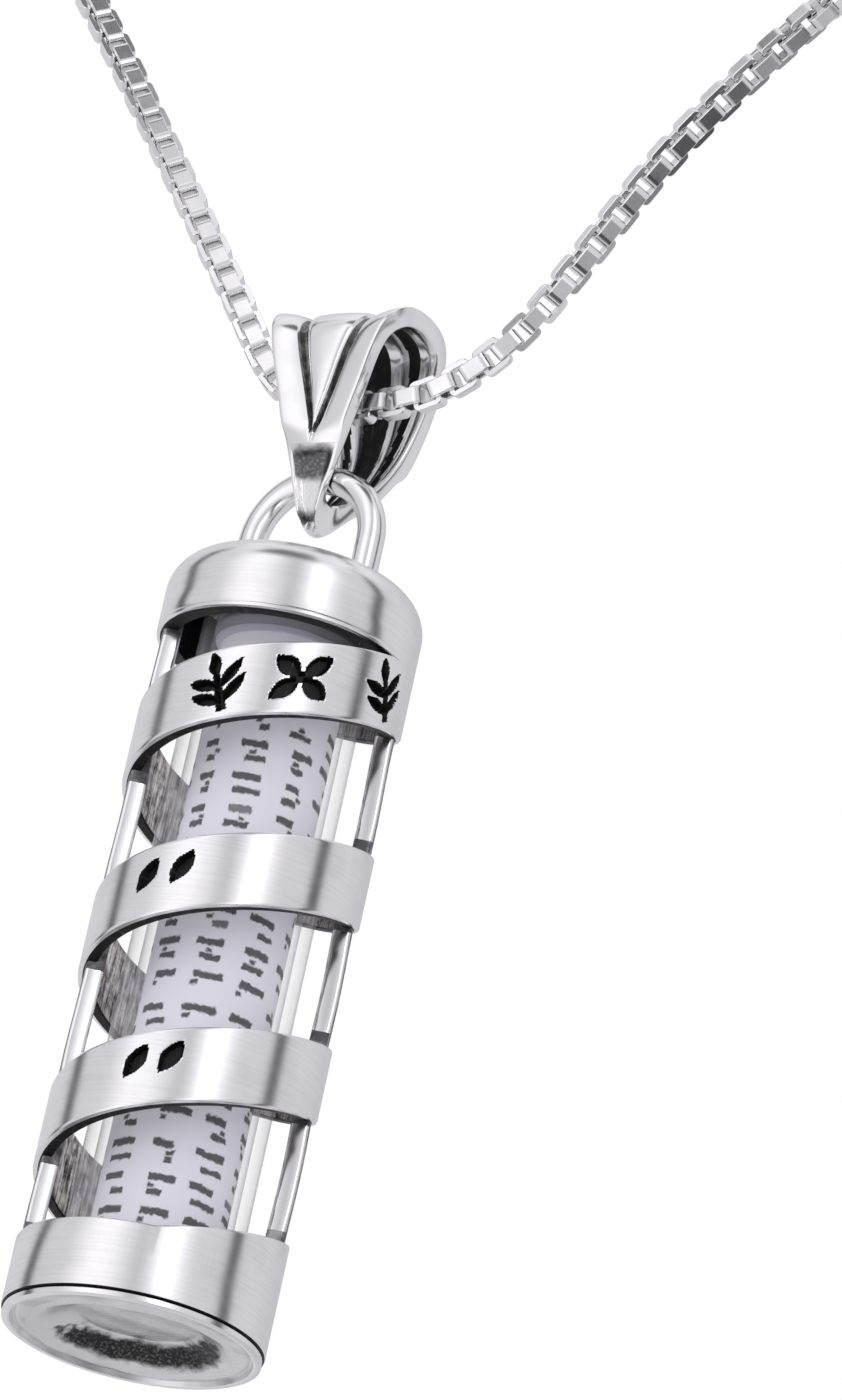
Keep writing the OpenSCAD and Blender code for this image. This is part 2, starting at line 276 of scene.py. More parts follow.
class Finish:
    """A material made of nodes, with its own name and surface.

    Attributes:
        name: The material's name.
    """

    name: str

    def build(self) -> bpy.types.Material:
        """Makes the material."""
        material = bpy.data.materials.new(self.name)
        material.use_nodes = True
        graph = Graph(material.node_tree)
        graph.node("ShaderNodeOutputMaterial", None, {"Surface": self.surface(graph)})
        return material

    def surface(self, graph: Graph) -> bpy.types.NodeSocket:
        """Adds the surface's nodes.

        Args:
            graph: The material's tree.

        Returns:
            The shader's output.
        """
        raise NotImplementedError


@dataclass(frozen=True)
class Silver(Finish):
    """Polished or brushed silver.

    Attributes:
        name: The material's name.
        level: Brightness of the metal.
        rough: Roughness where it is cleanest.
        grain: Direction of the polishing lines.
        depth: Height of those lines, in millimetres.
        tarnish: Share of grey film in the duller patches.
        warmth: Tint, warm above 0.
    """

    name: str
    level: float = 0.93
    rough: float = 0.16
    grain: Grain = Grain.FINE
    depth: float = 0.002
    tarnish: float = 0.18
    warmth: float = 0.0

    def surface(self, graph: Graph) -> bpy.types.NodeSocket:
        """Adds the surface's nodes.

        Args:
            graph: The material's tree.

        Returns:
            The shader's output.
        """
        spot, x, y, z = graph.place()
        lines = graph.noise(self._grain_at(graph, spot, x, y, z), 1.0, 4.0)
        patches = graph.noise(spot, 0.55, 2.0)
        streaks = 0.09 if self.grain is Grain.ROUND else 0.0
        film = patches.ramp(0.42, 0.75) * self.tarnish + lines.ramp(0.42, 0.62) * streaks
        colour = graph.mix(
            film, grey(self.level, self.warmth), grey(self.level * 0.62, self.warmth)
        )
        rough = self.rough + lines * 0.08 + patches * 0.08
        bump = graph.bump(lines, self.depth, 0.6)
        return graph.principled(
            {"Base Color": colour, "Metallic": 1.0, "Roughness": rough, "Normal": bump}
        )

    def _grain_at(self, graph: Graph, spot: Wire, x: Wire, y: Wire, z: Wire) -> Wire:
        """Place in the noise that stretches it into polishing lines."""
        if self.grain is Grain.FINE:
            return graph.scaled(spot, 3.0)
        return graph.join(y.math("ARCTAN2", x) * 1.3, z * 9, 0.0)


@dataclass(frozen=True)
class Oxide(Finish):
    """Blackened silver in recesses; as the black and smoky finishes it also stands as painted shade on
    faces that lie in shade.

    Attributes:
        name: The material's name.
        level: Brightness of the black film.
        bare: Brightness where the film has rubbed thin.
        worn: Share of the surface that is rubbed.
        warmth: Tint, warm above 0.
    """

    name: str
    level: float = 0.025
    bare: float = 0.25
    worn: float = 0.25
    warmth: float = 0.0

    def surface(self, graph: Graph) -> bpy.types.NodeSocket:
        """Adds the surface's nodes.

        Args:
            graph: The material's tree.

        Returns:
            The shader's output.
        """
        spot, x, y, z = graph.place()
        streak = graph.noise(graph.join(y.math("ARCTAN2", x) * 38, z * 0.7, 0.0), 1.0, 3.0)
        patch = graph.noise(spot, 2.4, 3.0)
        rubbed = (streak * 0.6 + patch * 0.4).ramp(0.62 - self.worn * 0.4, 0.78 - self.worn * 0.2)
        colour = graph.mix(rubbed, grey(self.level, self.warmth), grey(self.bare, self.warmth))
        rough = 0.5 - rubbed * 0.2
        bump = graph.bump(patch, 0.01, 0.5)
        return graph.principled(
            {"Base Color": colour, "Metallic": 0.85, "Roughness": rough, "Normal": bump}
        )


@dataclass(frozen=True)
class PaintedShadeBands(Finish):
    """Silver with painted shade that lies in bands at set heights.

    Attributes:
        name: The material's name.
        bands: Heights between which the painted shade lies, from the part's origin.
        ragged: How far its edges wander, in millimetres.
        film: Brightness of the painted shade.
        soft: Width over which it fades, in millimetres.
        rough: Roughness of the bare metal.
        worn: Share of the painted shade that is broken up by specks.
        side: Bearing of the side where the painted shade is whole, in degrees, or None for all round.
    """

    name: str
    bands: tuple[tuple[float, float], ...]
    ragged: float = 0.7
    film: float = 0.14
    soft: float = 0.22
    rough: float = 0.24
    worn: float = 0.3
    side: float | None = None

    def surface(self, graph: Graph) -> bpy.types.NodeSocket:
        """Adds the surface's nodes.

        Args:
            graph: The material's tree.

        Returns:
            The shader's output.
        """
        spot, x, y, z = graph.place()
        speck = graph.noise(spot, 8.0, 5.0)
        wander = z + (graph.noise(spot, 1.6, 4.0) - 0.5) * self.ragged
        film: Wire | float = 0.0
        for low, high in self.bands:
            film = film + wander.window(low, high, self.soft)
        film = film * (1 - speck.ramp(0.45, 0.75) * self.worn)
        if self.side is not None:
            turn = math.radians(self.side)
            along = x * math.cos(turn) + y * math.sin(turn)
            film = film * (along + (graph.noise(spot, 1.1, 3.0) - 0.5) * 4.2).ramp(1.0, 1.8)
        # The bands darken the silver's colour as painted shade.
        colour = graph.mix(film, grey(0.84), grey(self.film))
        bump, rough = graph.bump(speck, 0.03, 0.7), self.rough + film * 0.15
        return graph.principled(
            {"Base Color": colour, "Metallic": 1.0, "Roughness": rough, "Normal": bump}
        )


@dataclass(frozen=True)
class VialGlass(Finish):
    """Thin clear glass that catches light at its sides, with painted shade in a band just inside its
    outline.

    Attributes:
        name: The material's name.
        film: Opacity where it is seen face on.
        edge: Opacity added where it is seen edge on.
    """

    name: str = "vial_glass"
    film: float = 0.03
    edge: float = 0.75

    def surface(self, graph: Graph) -> bpy.types.NodeSocket:
        """Adds the surface's nodes.

        Args:
            graph: The material's tree.

        Returns:
            The shader's output.
        """
        facing = graph.value("ShaderNodeLayerWeight", None, {"Blend": 0.5}, "Facing")
        opacity = self.film + facing.math("POWER", 3.5) * self.edge
        # Painted shade: a dark band just inside the outline, where the glass is seen nearly edge on.
        painted_edge_shade = facing.window(0.80, 0.88, 0.03) * 0.75
        tint = graph.mix(painted_edge_shade, grey(0.95, -0.01), grey(0.12))
        return graph.principled(
            {"Base Color": tint, "Roughness": 0.04, "IOR": 1.5, "Alpha": opacity}
        )


@dataclass(frozen=True)
class PrintedPaper(Finish):
    """Pale scroll printed with rows of plain dashes, given a faint glow of its own colour as painted
    light.

    Attributes:
        name: The material's name.
        radius: Radius of the rolled sheet's outside, in millimetres.
        column: Spacing of the marks round the roll.
        row: Spacing of the marks along it.
        blank: Height above which the sheet is blank, from the part's origin.
    """

    name: str = "scroll_sheet"
    radius: float = 2.65
    column: float = 1.95
    row: float = 1.36
    blank: float = -13.6

    def surface(self, graph: Graph) -> bpy.types.NodeSocket:
        """Adds the surface's nodes.

        Args:
            graph: The material's tree.

        Returns:
            The shader's output.
        """
        spot, x, y, z = graph.place()
        wobble = (graph.noise(spot, 1.3, 2.0) - 0.5) * 0.25
        wobble = wobble + (graph.noise(spot, 6.0, 2.0) - 0.5) * 0.22
        across = (y.math("ARCTAN2", x) * self.radius + wobble) / self.column
        down = (z + wobble) / self.row
        ink = self._marks(graph, across, down) * (1 - z.ramp(self.blank - 0.1, self.blank))
        fibre = graph.noise(spot, 9.0, 4.0)
        sheet = graph.mix(fibre * 0.5, (0.86, 0.85, 0.91, 1), (0.76, 0.75, 0.83, 1))
        colour = graph.mix(ink, sheet, (0.03, 0.03, 0.035, 1))
        return graph.principled({
            "Base Color": colour,
            "Roughness": 0.6 + fibre * 0.2,
            "Normal": graph.bump(fibre, 0.01, 0.3),
            # Painted light: a faint glow of the paper's own colour brightens it inside the case.
            "Emission Color": colour,
            "Emission Strength": 0.17,
        })

    @staticmethod
    def _marks(graph: Graph, across: Wire, down: Wire) -> Wire:
        """Ink mask of dashes, one group in each cell.

        Args:
            graph: The tree to add to.
            across: Cell coordinate round the roll.
            down: Cell coordinate along the roll.

        Returns:
            A mask that is 1 on ink.
        """
        column, row = across.math("FLOOR"), down.math("FLOOR")
        u, v = across - column, down - row
        pick = graph.node(
            "ShaderNodeTexWhiteNoise", {"noise_dimensions": "2D"},
            {"Vector": graph.join(column, row, 0.0)},
        )
        tint = graph.node("ShaderNodeSeparateXYZ", None, {0: pick.outputs["Color"]})
        one, two, three = (Wire(graph, out) for out in tint.outputs)
        upper = (u - one * 0.22).ramp(0.06, 0.1) * (1 - (u + two * 0.35).ramp(0.9, 0.94))
        upper = upper * v.window(0.58, 0.8, 0.035)
        lower = (u - three * 0.4).ramp(0.1, 0.14) * (1 - (u + one * 0.3).ramp(0.84, 0.88))
        lower = lower * v.window(0.14, 0.33, 0.035)
        dot = (u - two * 0.5).window(0.16, 0.3, 0.03) * v.window(0.36, 0.5, 0.04)
        ink = (upper * three.ramp(0.08, 0.1)).math("MAXIMUM", lower * two.ramp(0.2, 0.22))
        return ink.math("MAXIMUM", dot * one.ramp(0.3, 0.32)) * 0.95


@dataclass(frozen=True)
class MouldedPlastic(Finish):
    """Milky plastic of the stopper."""

    name: str = "stopper_plastic_finish"

    def surface(self, graph: Graph) -> bpy.types.NodeSocket:
        """Adds the surface's nodes.

        Args:
            graph: The material's tree.

        Returns:
            The shader's output.
        """
        spot, _, _, _ = graph.place()
        cloud = graph.noise(spot, 1.5, 3.0)
        colour = graph.mix(cloud, (0.60, 0.59, 0.68, 1), (0.70, 0.69, 0.77, 1))
        return graph.principled({"Base Color": colour, "Roughness": 0.35 + cloud * 0.15})


@dataclass(frozen=True)
class StudioFloor(Finish):
    """Plain pale paper under the pendant."""

    name: str = "floor_paper"

    def surface(self, graph: Graph) -> bpy.types.NodeSocket:
        """Adds the surface's nodes.

        Args:
            graph: The material's tree.

        Returns:
            The shader's output.
        """
        spot, _, _, _ = graph.place()
        cloud = graph.noise(spot, 0.02, 2.0)
        colour = graph.mix(cloud, grey(0.80), grey(0.84))
        return graph.principled({"Base Color": colour, "Roughness": 0.8})


# ---------------------------------------------------------------------------
# Mesh building, in millimetres
# ---------------------------------------------------------------------------


@dataclass
class Shell:
    """Gathers points and faces, then makes one riding piece.

    Attributes:
        name: Name of the piece.
        lift: Height added to every point, in millimetres.
        points: The points so far, in millimetres.
        faces: The faces so far, as point numbers.
        paints: The material number of each face.
    """

    name: str
    lift: float = 0.0
    points: list[tuple[float, float, float]] = field(default_factory=list)
    faces: list[tuple[int, ...]] = field(default_factory=list)
    paints: list[int] = field(default_factory=list)

    def grid(
        self,
        rows: Sequence[Sequence[Sequence[float]]],
        close_rows: bool = False,
        close_row: bool = False,
        paint: Callable[[int, int], int] | int = 0,
    ) -> list[list[int]]:
        """Adds a sheet of quads.

        Args:
            rows: Rows of points, all of one length.
            close_rows: Joins the last row to the first.
            close_row: Joins each row's end to its start.
            paint: Material number, or a function of row and column.

        Returns:
            The point numbers, row by row.
        """
        base, width = len(self.points), len(rows[0])
        for row in rows:
            self.points.extend((p[0], p[1], p[2]) for p in row)
        count = len(rows)
        for i in range(count if close_rows else count - 1):
            for j in range(width if close_row else width - 1):
                a, b = base + i * width, base + ((i + 1) % count) * width
                k = (j + 1) % width
                self.faces.append((a + j, a + k, b + k, b + j))
                self.paints.append(paint(i, j) if callable(paint) else paint)
        return [[base + i * width + j for j in range(width)] for i in range(count)]

    def cap(self, ring: Sequence[int], flip: bool = False) -> None:
        """Closes a ring of points with one face of the first material."""
        self.faces.append(tuple(reversed(ring)) if flip else tuple(ring))
        self.paints.append(0)

    def rod(
        self,
        rows: Sequence[Sequence[Sequence[float]]],
        paint: Callable[[int, int], int] | int = 0,
    ) -> None:
        """Adds a solid of closed rows, with a face over each end."""
        numbers = self.grid(rows, close_row=True, paint=paint)
        self.cap(numbers[0], True)
        self.cap(numbers[-1])

    def turned(
        self,
        profile: Sequence[tuple[float, float]],
        steps: int = 96,
    ) -> None:
        """Adds a closed profile of (radius, height) turned about the axis."""
        rows = [at_bearing(profile, 360 * i / steps) for i in range(steps)]
        self.grid(rows, close_rows=True, close_row=True)

    def build(
        self,
        materials: Sequence[bpy.types.Material],
        body: Body,
        slot: Slot,
        nodes: Sequence[str],
        crease: float = 40.0,
    ) -> bpy.types.Object:
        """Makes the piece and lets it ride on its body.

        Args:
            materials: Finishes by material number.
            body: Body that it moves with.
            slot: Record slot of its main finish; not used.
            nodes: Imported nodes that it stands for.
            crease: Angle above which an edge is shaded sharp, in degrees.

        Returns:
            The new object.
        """
        mesh = bpy.data.meshes.new(self.name)
        lifted = [(x * MM, y * MM, (z + self.lift) * MM) for x, y, z in self.points]
        mesh.from_pydata(lifted, [], self.faces)
        for material in materials:
            mesh.materials.append(material)
        mesh.polygons.foreach_set("material_index", self.paints)
        mesh.validate()
        made = bpy.data.objects.new(self.name, mesh)
        bpy.context.scene.collection.objects.link(made)
        self._face_out(made)
        mesh.polygons.foreach_set("use_smooth", [True] * len(mesh.polygons))
        mesh.set_sharp_from_angle(angle=math.radians(crease))
        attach(made, body.value)
        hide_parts(*nodes)
        LOG.info("%s: %d faces on %s", self.name, len(mesh.polygons), body.value)
        return made

    @staticmethod
    def _face_out(made: bpy.types.Object) -> None:
        """Turns every face of a closed shell outwards and welds doubled points."""
        work = bmesh.new()
        work.from_mesh(made.data)
        bmesh.ops.remove_doubles(work, verts=work.verts, dist=0.002 * MM)
        bmesh.ops.recalc_face_normals(work, faces=work.faces)
        work.to_mesh(made.data)
        work.free()


def at_bearing(
    profile: Sequence[tuple[float, float]], bearing: float
) -> list[tuple[float, float, float]]:
    """Profile of (radius, height) stood up at a bearing in degrees."""
    a = math.radians(bearing)
    return [(r * math.cos(a), r * math.sin(a), z) for r, z in profile]


def smooth(share: float) -> float:
    """Smooth step of a share, held between 0 and 1."""
    t = min(max(share, 0.0), 1.0)
    return t * t * (3 - 2 * t)


def arc(
    centre: tuple[float, float], radius: float, start: float, end: float, steps: int
) -> list[tuple[float, float]]:
    """Points of an arc.

    Args:
        centre: Its centre.
        radius: Its radius.
        start: Angle of its first point, in degrees.
        end: Angle of its last point, in degrees.
        steps: Pieces that it is cut into.

    Returns:
        The points, both ends included.
    """
    return [
        (
            centre[0] + radius * math.cos(math.radians(start + (end - start) * i / steps)),
            centre[1] + radius * math.sin(math.radians(start + (end - start) * i / steps)),
        )
        for i in range(steps + 1)
    ]


def rounded(
    corners: Sequence[tuple[float, float, float]], steps: int = 3
) -> list[tuple[float, float]]:
    """Closed outline with each corner cut to a curve.

    Args:
        corners: Corner points with the length taken off beside each.
        steps: Pieces in each curve.

    Returns:
        The outline's points.
    """
    out: list[tuple[float, float]] = []
    n = len(corners)
    for i, (x, y, cut) in enumerate(corners):
        here = Vector((x, y))
        if cut <= 0:
            out.append((x, y))
            continue
        before, after = Vector(corners[i - 1][:2]), Vector(corners[(i + 1) % n][:2])
        start = here + (before - here).normalized() * cut
        end = here + (after - here).normalized() * cut
        for k in range(steps + 1):
            t = k / steps
            p = start * (1 - t) ** 2 + here * 2 * t * (1 - t) + end * t * t
            out.append((p.x, p.y))
    return out


def curve_through(
    points: Sequence[Sequence[float]], steps: int, closed: bool
) -> list[Vector]:
    """Smooth curve through points.

    Args:
        points: The points that it passes.
        steps: Pieces between two points.
        closed: Whether it ends where it starts.

    Returns:
        Points of the curve.
    """
    given = [Vector(p) for p in points]
    n = len(given)

    def at(i: int) -> Vector:
        """Point i, wrapped or held at the ends."""
        return given[i % n] if closed else given[min(max(i, 0), n - 1)]

    out = []
    for i in range(n if closed else n - 1):
        a, b, c, d = at(i - 1), at(i), at(i + 1), at(i + 2)
        for k in range(steps):
            t = k / steps
            out.append(
                0.5 * (2 * b + (c - a) * t + (2 * a - 5 * b + 4 * c - d) * t * t
                       + (3 * b - a - 3 * c + d) * t ** 3)
            )
    if not closed:
        out.append(given[-1])
    return out


# ---------------------------------------------------------------------------
# Finishes used on the pieces
# ---------------------------------------------------------------------------


@dataclass
class Finishes:
    """Every finish, made once."""

    brushed: bpy.types.Material = field(init=False)
    polished: bpy.types.Material = field(init=False)
    cast: bpy.types.Material = field(init=False)
    inside: bpy.types.Material = field(init=False)
    black: bpy.types.Material = field(init=False)
    smoky: bpy.types.Material = field(init=False)
    spoon_painted_shade: bpy.types.Material = field(init=False)
    well: bpy.types.Material = field(init=False)
    chain: bpy.types.Material = field(init=False)
    steel: bpy.types.Material = field(init=False)
    glass: bpy.types.Material = field(init=False)
    paper: bpy.types.Material = field(init=False)
    plastic: bpy.types.Material = field(init=False)

    def __post_init__(self) -> None:
        """Builds the materials."""
        self.brushed = Silver(
            "silver_brushed", rough=0.13, grain=Grain.ROUND, depth=0.004, tarnish=0.16
        ).build()
        self.polished = Silver("silver_polished", rough=0.1, depth=0.0015).build()
        self.cast = Silver(
            "silver_cast", level=0.88, rough=0.26, depth=0.014, tarnish=0.7
        ).build()
        self.inside = Oxide(
            "silver_inside", level=0.05, bare=0.92, worn=0.62, warmth=0.04
        ).build()
        # Black and smoky oxide lie in recesses, and also stand as painted shade on faces that lie in
        # shade.
        self.black = Oxide("oxide_black_and_painted_shade", bare=0.14, worn=0.2).build()
        self.smoky = Oxide("oxide_smoky_and_painted_shade", level=0.12, bare=0.5, worn=0.5).build()
        # Painted shade in bands on the bail's front dish and on the far wall of the dish's well.
        self.spoon_painted_shade = PaintedShadeBands("silver_spoon_painted_shade", ((-3.5, -2.4), (-5.1, -4.75)), 0.6).build()
        self.well = PaintedShadeBands(
            "silver_well_painted_shade", ((-38.34, -37.78),), ragged=0.4, film=0.04, soft=0.1, worn=0.25,
            side=108.0,
        ).build()
        self.chain = Silver("silver_chain", level=0.95, rough=0.14, depth=0.001).build()
        self.steel = Silver("steel_spring", level=0.7, rough=0.25).build()
        self.glass = VialGlass().build()
        self.paper = PrintedPaper().build()
        self.plastic = MouldedPlastic().build()


# ---------------------------------------------------------------------------
# The case
# ---------------------------------------------------------------------------


@dataclass
class Ornament:
    """One sunk ornament on the band.

    Attributes:
        motif: Its shape.
        bearing: Unwound bearing of its middle, in degrees.
        height: Height of its middle over the band's lower edge.
        scale: Size against the motif's own.
    """

    motif: Motif
    bearing: float
    height: float
    scale: float = 1.0

    def sunk(self, u: float, v: float) -> float:
        """How deep a spot is sunk, from 0 to 1.

        Args:
            u: Distance round the case from the ornament's middle.
            v: Height over the ornament's middle.

        Returns:
            1 on the floor and 0 outside, with sloped walls.
        """
        u, v = u / self.scale, v / self.scale
        if self.motif is Motif.SEED:
            gap = self._leaf(u, v, (0.0, 0.0), 62, 0.56, 0.3)
        elif self.motif is Motif.QUATREFOIL:
            leaves = [
                self._leaf(u, v, (0.62, turn), turn, 0.52, 0.27) for turn in (40, 140, 220, 320)
            ]
            gap = min(leaves + [math.hypot(u, v) - 0.17])
        else:
            u, v = u * 0.95 + v * 0.31, v * 0.95 - u * 0.31
            leaves = [
                self._leaf(u - side * 0.42, v - rise, (0.0, 0.0), 90 - side * 50, 0.52, 0.15)
                for side in (-1, 1) for rise in (-0.42, 0.14)
            ]
            leaves.append(self._leaf(u, v - 0.68, (0.0, 0.0), 90, 0.42, 0.15))
            stem = max(abs(u) - 0.045 - 0.03 * (0.9 - v), abs(v + 0.1) - 0.92)
            gap = min(leaves + [stem])
        return smooth(0.5 - gap / 0.09)

    @staticmethod
    def _leaf(
        u: float, v: float, polar: tuple[float, float], turn: float, long: float, wide: float
    ) -> float:
        """Signed distance to a leaf.

        Args:
            u: Distance round the case from the ornament's middle.
            v: Height over the ornament's middle.
            polar: Distance and bearing of the leaf's middle, in degrees.
            turn: Direction that the leaf points in, in degrees.
            long: Half its length.
            wide: Half its width.

        Returns:
            The distance, below 0 inside the leaf.
        """
        a = math.radians(polar[1])
        du, dv = u - polar[0] * math.cos(a), v - polar[0] * math.sin(a)
        t = math.radians(turn)
        along = du * math.cos(t) + dv * math.sin(t)
        side = -du * math.sin(t) + dv * math.cos(t)
        share = min(abs(along) / long, 1.0)
        limit = wide * (1 - share ** 2)
        return max(abs(side) - limit, abs(along) - long)


@dataclass
class SpiralSleeve:
    """Silver tube cut to one spiral band between two collars.

    Attributes:
        finishes: The finishes.
        top: Height of the case's top plane in the part's frame.
        case_r: Outer radius.
        wall: Wall thickness of the collars.
        band_wall: Wall thickness of the band between its dressed edges.
        height: Height from the top plane down to the sleeve's lower end.
        top_collar_h: Height of the upper collar.
        bottom_collar_h: Height of the lower collar.
        band_h: Height of the band.
        pitch: Rise of one turn.
        slot_start: Bearing where the slot opens.
        shoulder_r: Radius of the shoulder.
        edge: Rounding of the outer edges.
        sink: Depth of the ornaments.
        rows: Rows of faces up the band.
        steps: Columns of faces round the collars.
        ornaments: The sunk ornaments, from the upper end of the band down.
        reach: How far an ornament reaches each way, in degrees.
    """

    finishes: Finishes
    top: float
    case_r: float = 5.0
    wall: float = 0.75
    band_wall: float = 0.6
    height: float = 30.9
    top_collar_h: float = 3.3
    bottom_collar_h: float = 2.7
    band_h: float = 3.0
    pitch: float = 7.9
    slot_start: float = -2.0
    shoulder_r: float = 1.5
    edge: float = 0.1
    sink: float = 0.34
    rows: int = 56
    steps: int = 288
    ornaments: tuple[Ornament, ...] = (
        Ornament(Motif.SPRAY, -83, 1.52, 1.22),
        Ornament(Motif.QUATREFOIL, -47, 1.5, 1.18),
        Ornament(Motif.SPRAY, -3, 1.5, 1.2),
        Ornament(Motif.SEED, -456, 1.8, 1.15),
        Ornament(Motif.SEED, -440, 1.8, 1.15),
        Ornament(Motif.SEED, -801, 1.85, 1.15),
        Ornament(Motif.SEED, -786, 1.85, 1.15),
    )
    reach: float = 17.0

    def build(self) -> None:
        """Makes the sleeve."""
        shell = Shell("spiral_sleeve_shell", self.top)
        self._top_collar(shell)
        self._bottom_collar(shell)
        self._band(shell)
        shell.build(
            [self.finishes.brushed, self.finishes.inside, self.finishes.black],
            Body.CASE, Slot.SLEEVE, ["spiral_sleeve"],
        )

    def _top_collar(self, shell: Shell) -> None:
        """Adds the upper collar; its foot runs into the band where the slot is closed.

        Args:
            shell: The shell to add to.
        """
        r, low = self.case_r, -self.top_collar_h
        flat_r, bore = self.case_r - self.shoulder_r, self.case_r - self.wall
        line = low + 0.2
        rows = []
        for i in range(self.steps):
            bearing = 360 * i / self.steps
            free = self._free(bearing - self.slot_start)
            outer = [(r - 0.15 * free, low), (r - 0.03 * free, low + 0.03), (r, low + 0.09)]
            outer += [(r, line - 0.05), (r - 0.035 * free, line), (r, line + 0.05)]
            outer += [(r, low + 0.9), (r, -self.shoulder_r)]
            outer += arc((flat_r, -self.shoulder_r), self.shoulder_r, 6, 90, 12)
            inner = [(flat_r - 0.06, -0.03), (flat_r - 0.06, -0.5), (bore, -0.95), (bore, low)]
            rows.append(at_bearing(outer + inner, bearing))
        last = len(rows[0])
        # The bore below the cap and the collar's lower face are painted black as shade; the inner faces
        # under the cap take the inner finish.
        shell.grid(
            rows, close_rows=True, close_row=True,
            paint=lambda i, j: 2 if j >= last - 2 else (1 if j >= last - 4 else 0),
        )

    def _bottom_collar(self, shell: Shell) -> None:
        """Adds the lower collar, whose upper edge runs into the band in the same way.

        Args:
            shell: The shell to add to.
        """
        r, bore = self.case_r, self.case_r - self.wall
        low, high = -self.height, -self.height + self.bottom_collar_h
        joins = self.slot_start - (-self.top_collar_h - high) * 360 / self.pitch
        rows = []
        for i in range(self.steps):
            bearing = 360 * i / self.steps
            e = self.edge * max(self._free(bearing - joins), 0.02)
            profile = [(bore, low), (r - 0.13, low), (r - 0.02, low + 0.06)]
            profile += [(r, low + 0.12), (r, (low + high) / 2), (r, high - e)]
            profile += [(r - 0.3 * e, high - 0.3 * e), (r - e, high), (bore, high)]
            rows.append(at_bearing(profile, bearing))
        last = len(rows[0])
        shell.grid(
            rows, close_rows=True, close_row=True,
            paint=lambda i, j: 2 if j <= 1 else (1 if j == last - 1 else 0),
        )

    def _free(self, turned: float) -> float:
        """How free a collar's edge is, 0 where the band runs into it and 1 clear of it."""
        t, joined = turned % 360, self.band_h * 360 / self.pitch
        if t < joined:
            return 1 - smooth(t / 2.5)
        return smooth((t - joined) / 4)

    def _band(self, shell: Shell) -> None:
        """Adds the band, fine where it carries ornaments.

        Args:
            shell: The shell to add to.
        """
        high_limit = -(self.shoulder_r + 0.1)
        low_limit = -self.height + 0.8
        per_degree = self.pitch / 360
        first = self.slot_start + (self.top_collar_h + high_limit - 0.6 + self.band_h) / per_degree
        last = self.slot_start + (self.top_collar_h + low_limit + 0.6) / per_degree
        bearings = self._bearings(first, last)
        ring_rows, paints = [], []
        for bearing in bearings:
            top = -self.top_collar_h + (bearing - self.slot_start) * per_degree
            low = max(top - self.band_h, low_limit)
            high = min(top, high_limit)
            ring, paint = self._band_ring(bearing, low, high)
            ring_rows.append(ring)
            paints.append(paint)
        shell.rod(ring_rows, lambda i, j: self._darkest(paints, i, j))

    def _darkest(self, paints: list[list[int]], i: int, j: int) -> int:
        """Material number of a face, the highest of its corners on the outer side."""
        if j >= self.rows:
            return paints[i][j]
        below = paints[min(i + 1, len(paints) - 1)]
        return max(paints[i][j], below[j], paints[i][j + 1])

    def _bearings(self, first: float, last: float) -> list[float]:
        """Bearings of the band's rings from its upper end down."""
        out, a = [], first
        while a > last:
            out.append(a)
            near = min(abs(a - o.bearing) for o in self.ornaments)
            a -= 0.6 if near < self.reach else 2.4
        return out + [last]

    def _band_ring(
        self, bearing: float, low: float, high: float
    ) -> tuple[list[tuple[float, float, float]], list[int]]:
        """One ring round the band's section.

        Args:
            bearing: Unwound bearing of the ring, in degrees.
            low: Height of the band's lower edge there.
            high: Height of its upper edge.

        Returns:
            The ring's points and their material numbers.
        """
        e, r, bore = self.edge, self.case_r, self.case_r - self.band_wall
        tall = high - low
        e = min(e, tall * 0.3)
        near = [o for o in self.ornaments if abs(bearing - o.bearing) < self.reach]
        section, paint = [], []
        for k in range(self.rows + 1):
            z = low + e + (tall - 2 * e) * k / self.rows
            depth = 0.0
            for o in near:
                u = math.radians(bearing - o.bearing) * self.case_r
                depth = max(depth, o.sunk(u, z - low - o.height))
            section.append((r - depth * self.sink, z))
            paint.append(2 if depth > 0.08 else 0)
        section += [(r - 0.3 * e, high - 0.3 * e), (r - e, high)]
        section += [(bore + 0.05, high), (bore, high - 0.05), (bore, low + 0.05), (bore + 0.05, low)]
        section += [(r - e - 0.08, low), (r - 0.3 * e, low + 0.3 * e)]
        # The bore takes the inner finish; the inner lower edge and the lower face are painted black as
        # shade.
        paint += [0, 0, 0, 1, 2, 2, 0, 0]
        return at_bearing(section, bearing), paint


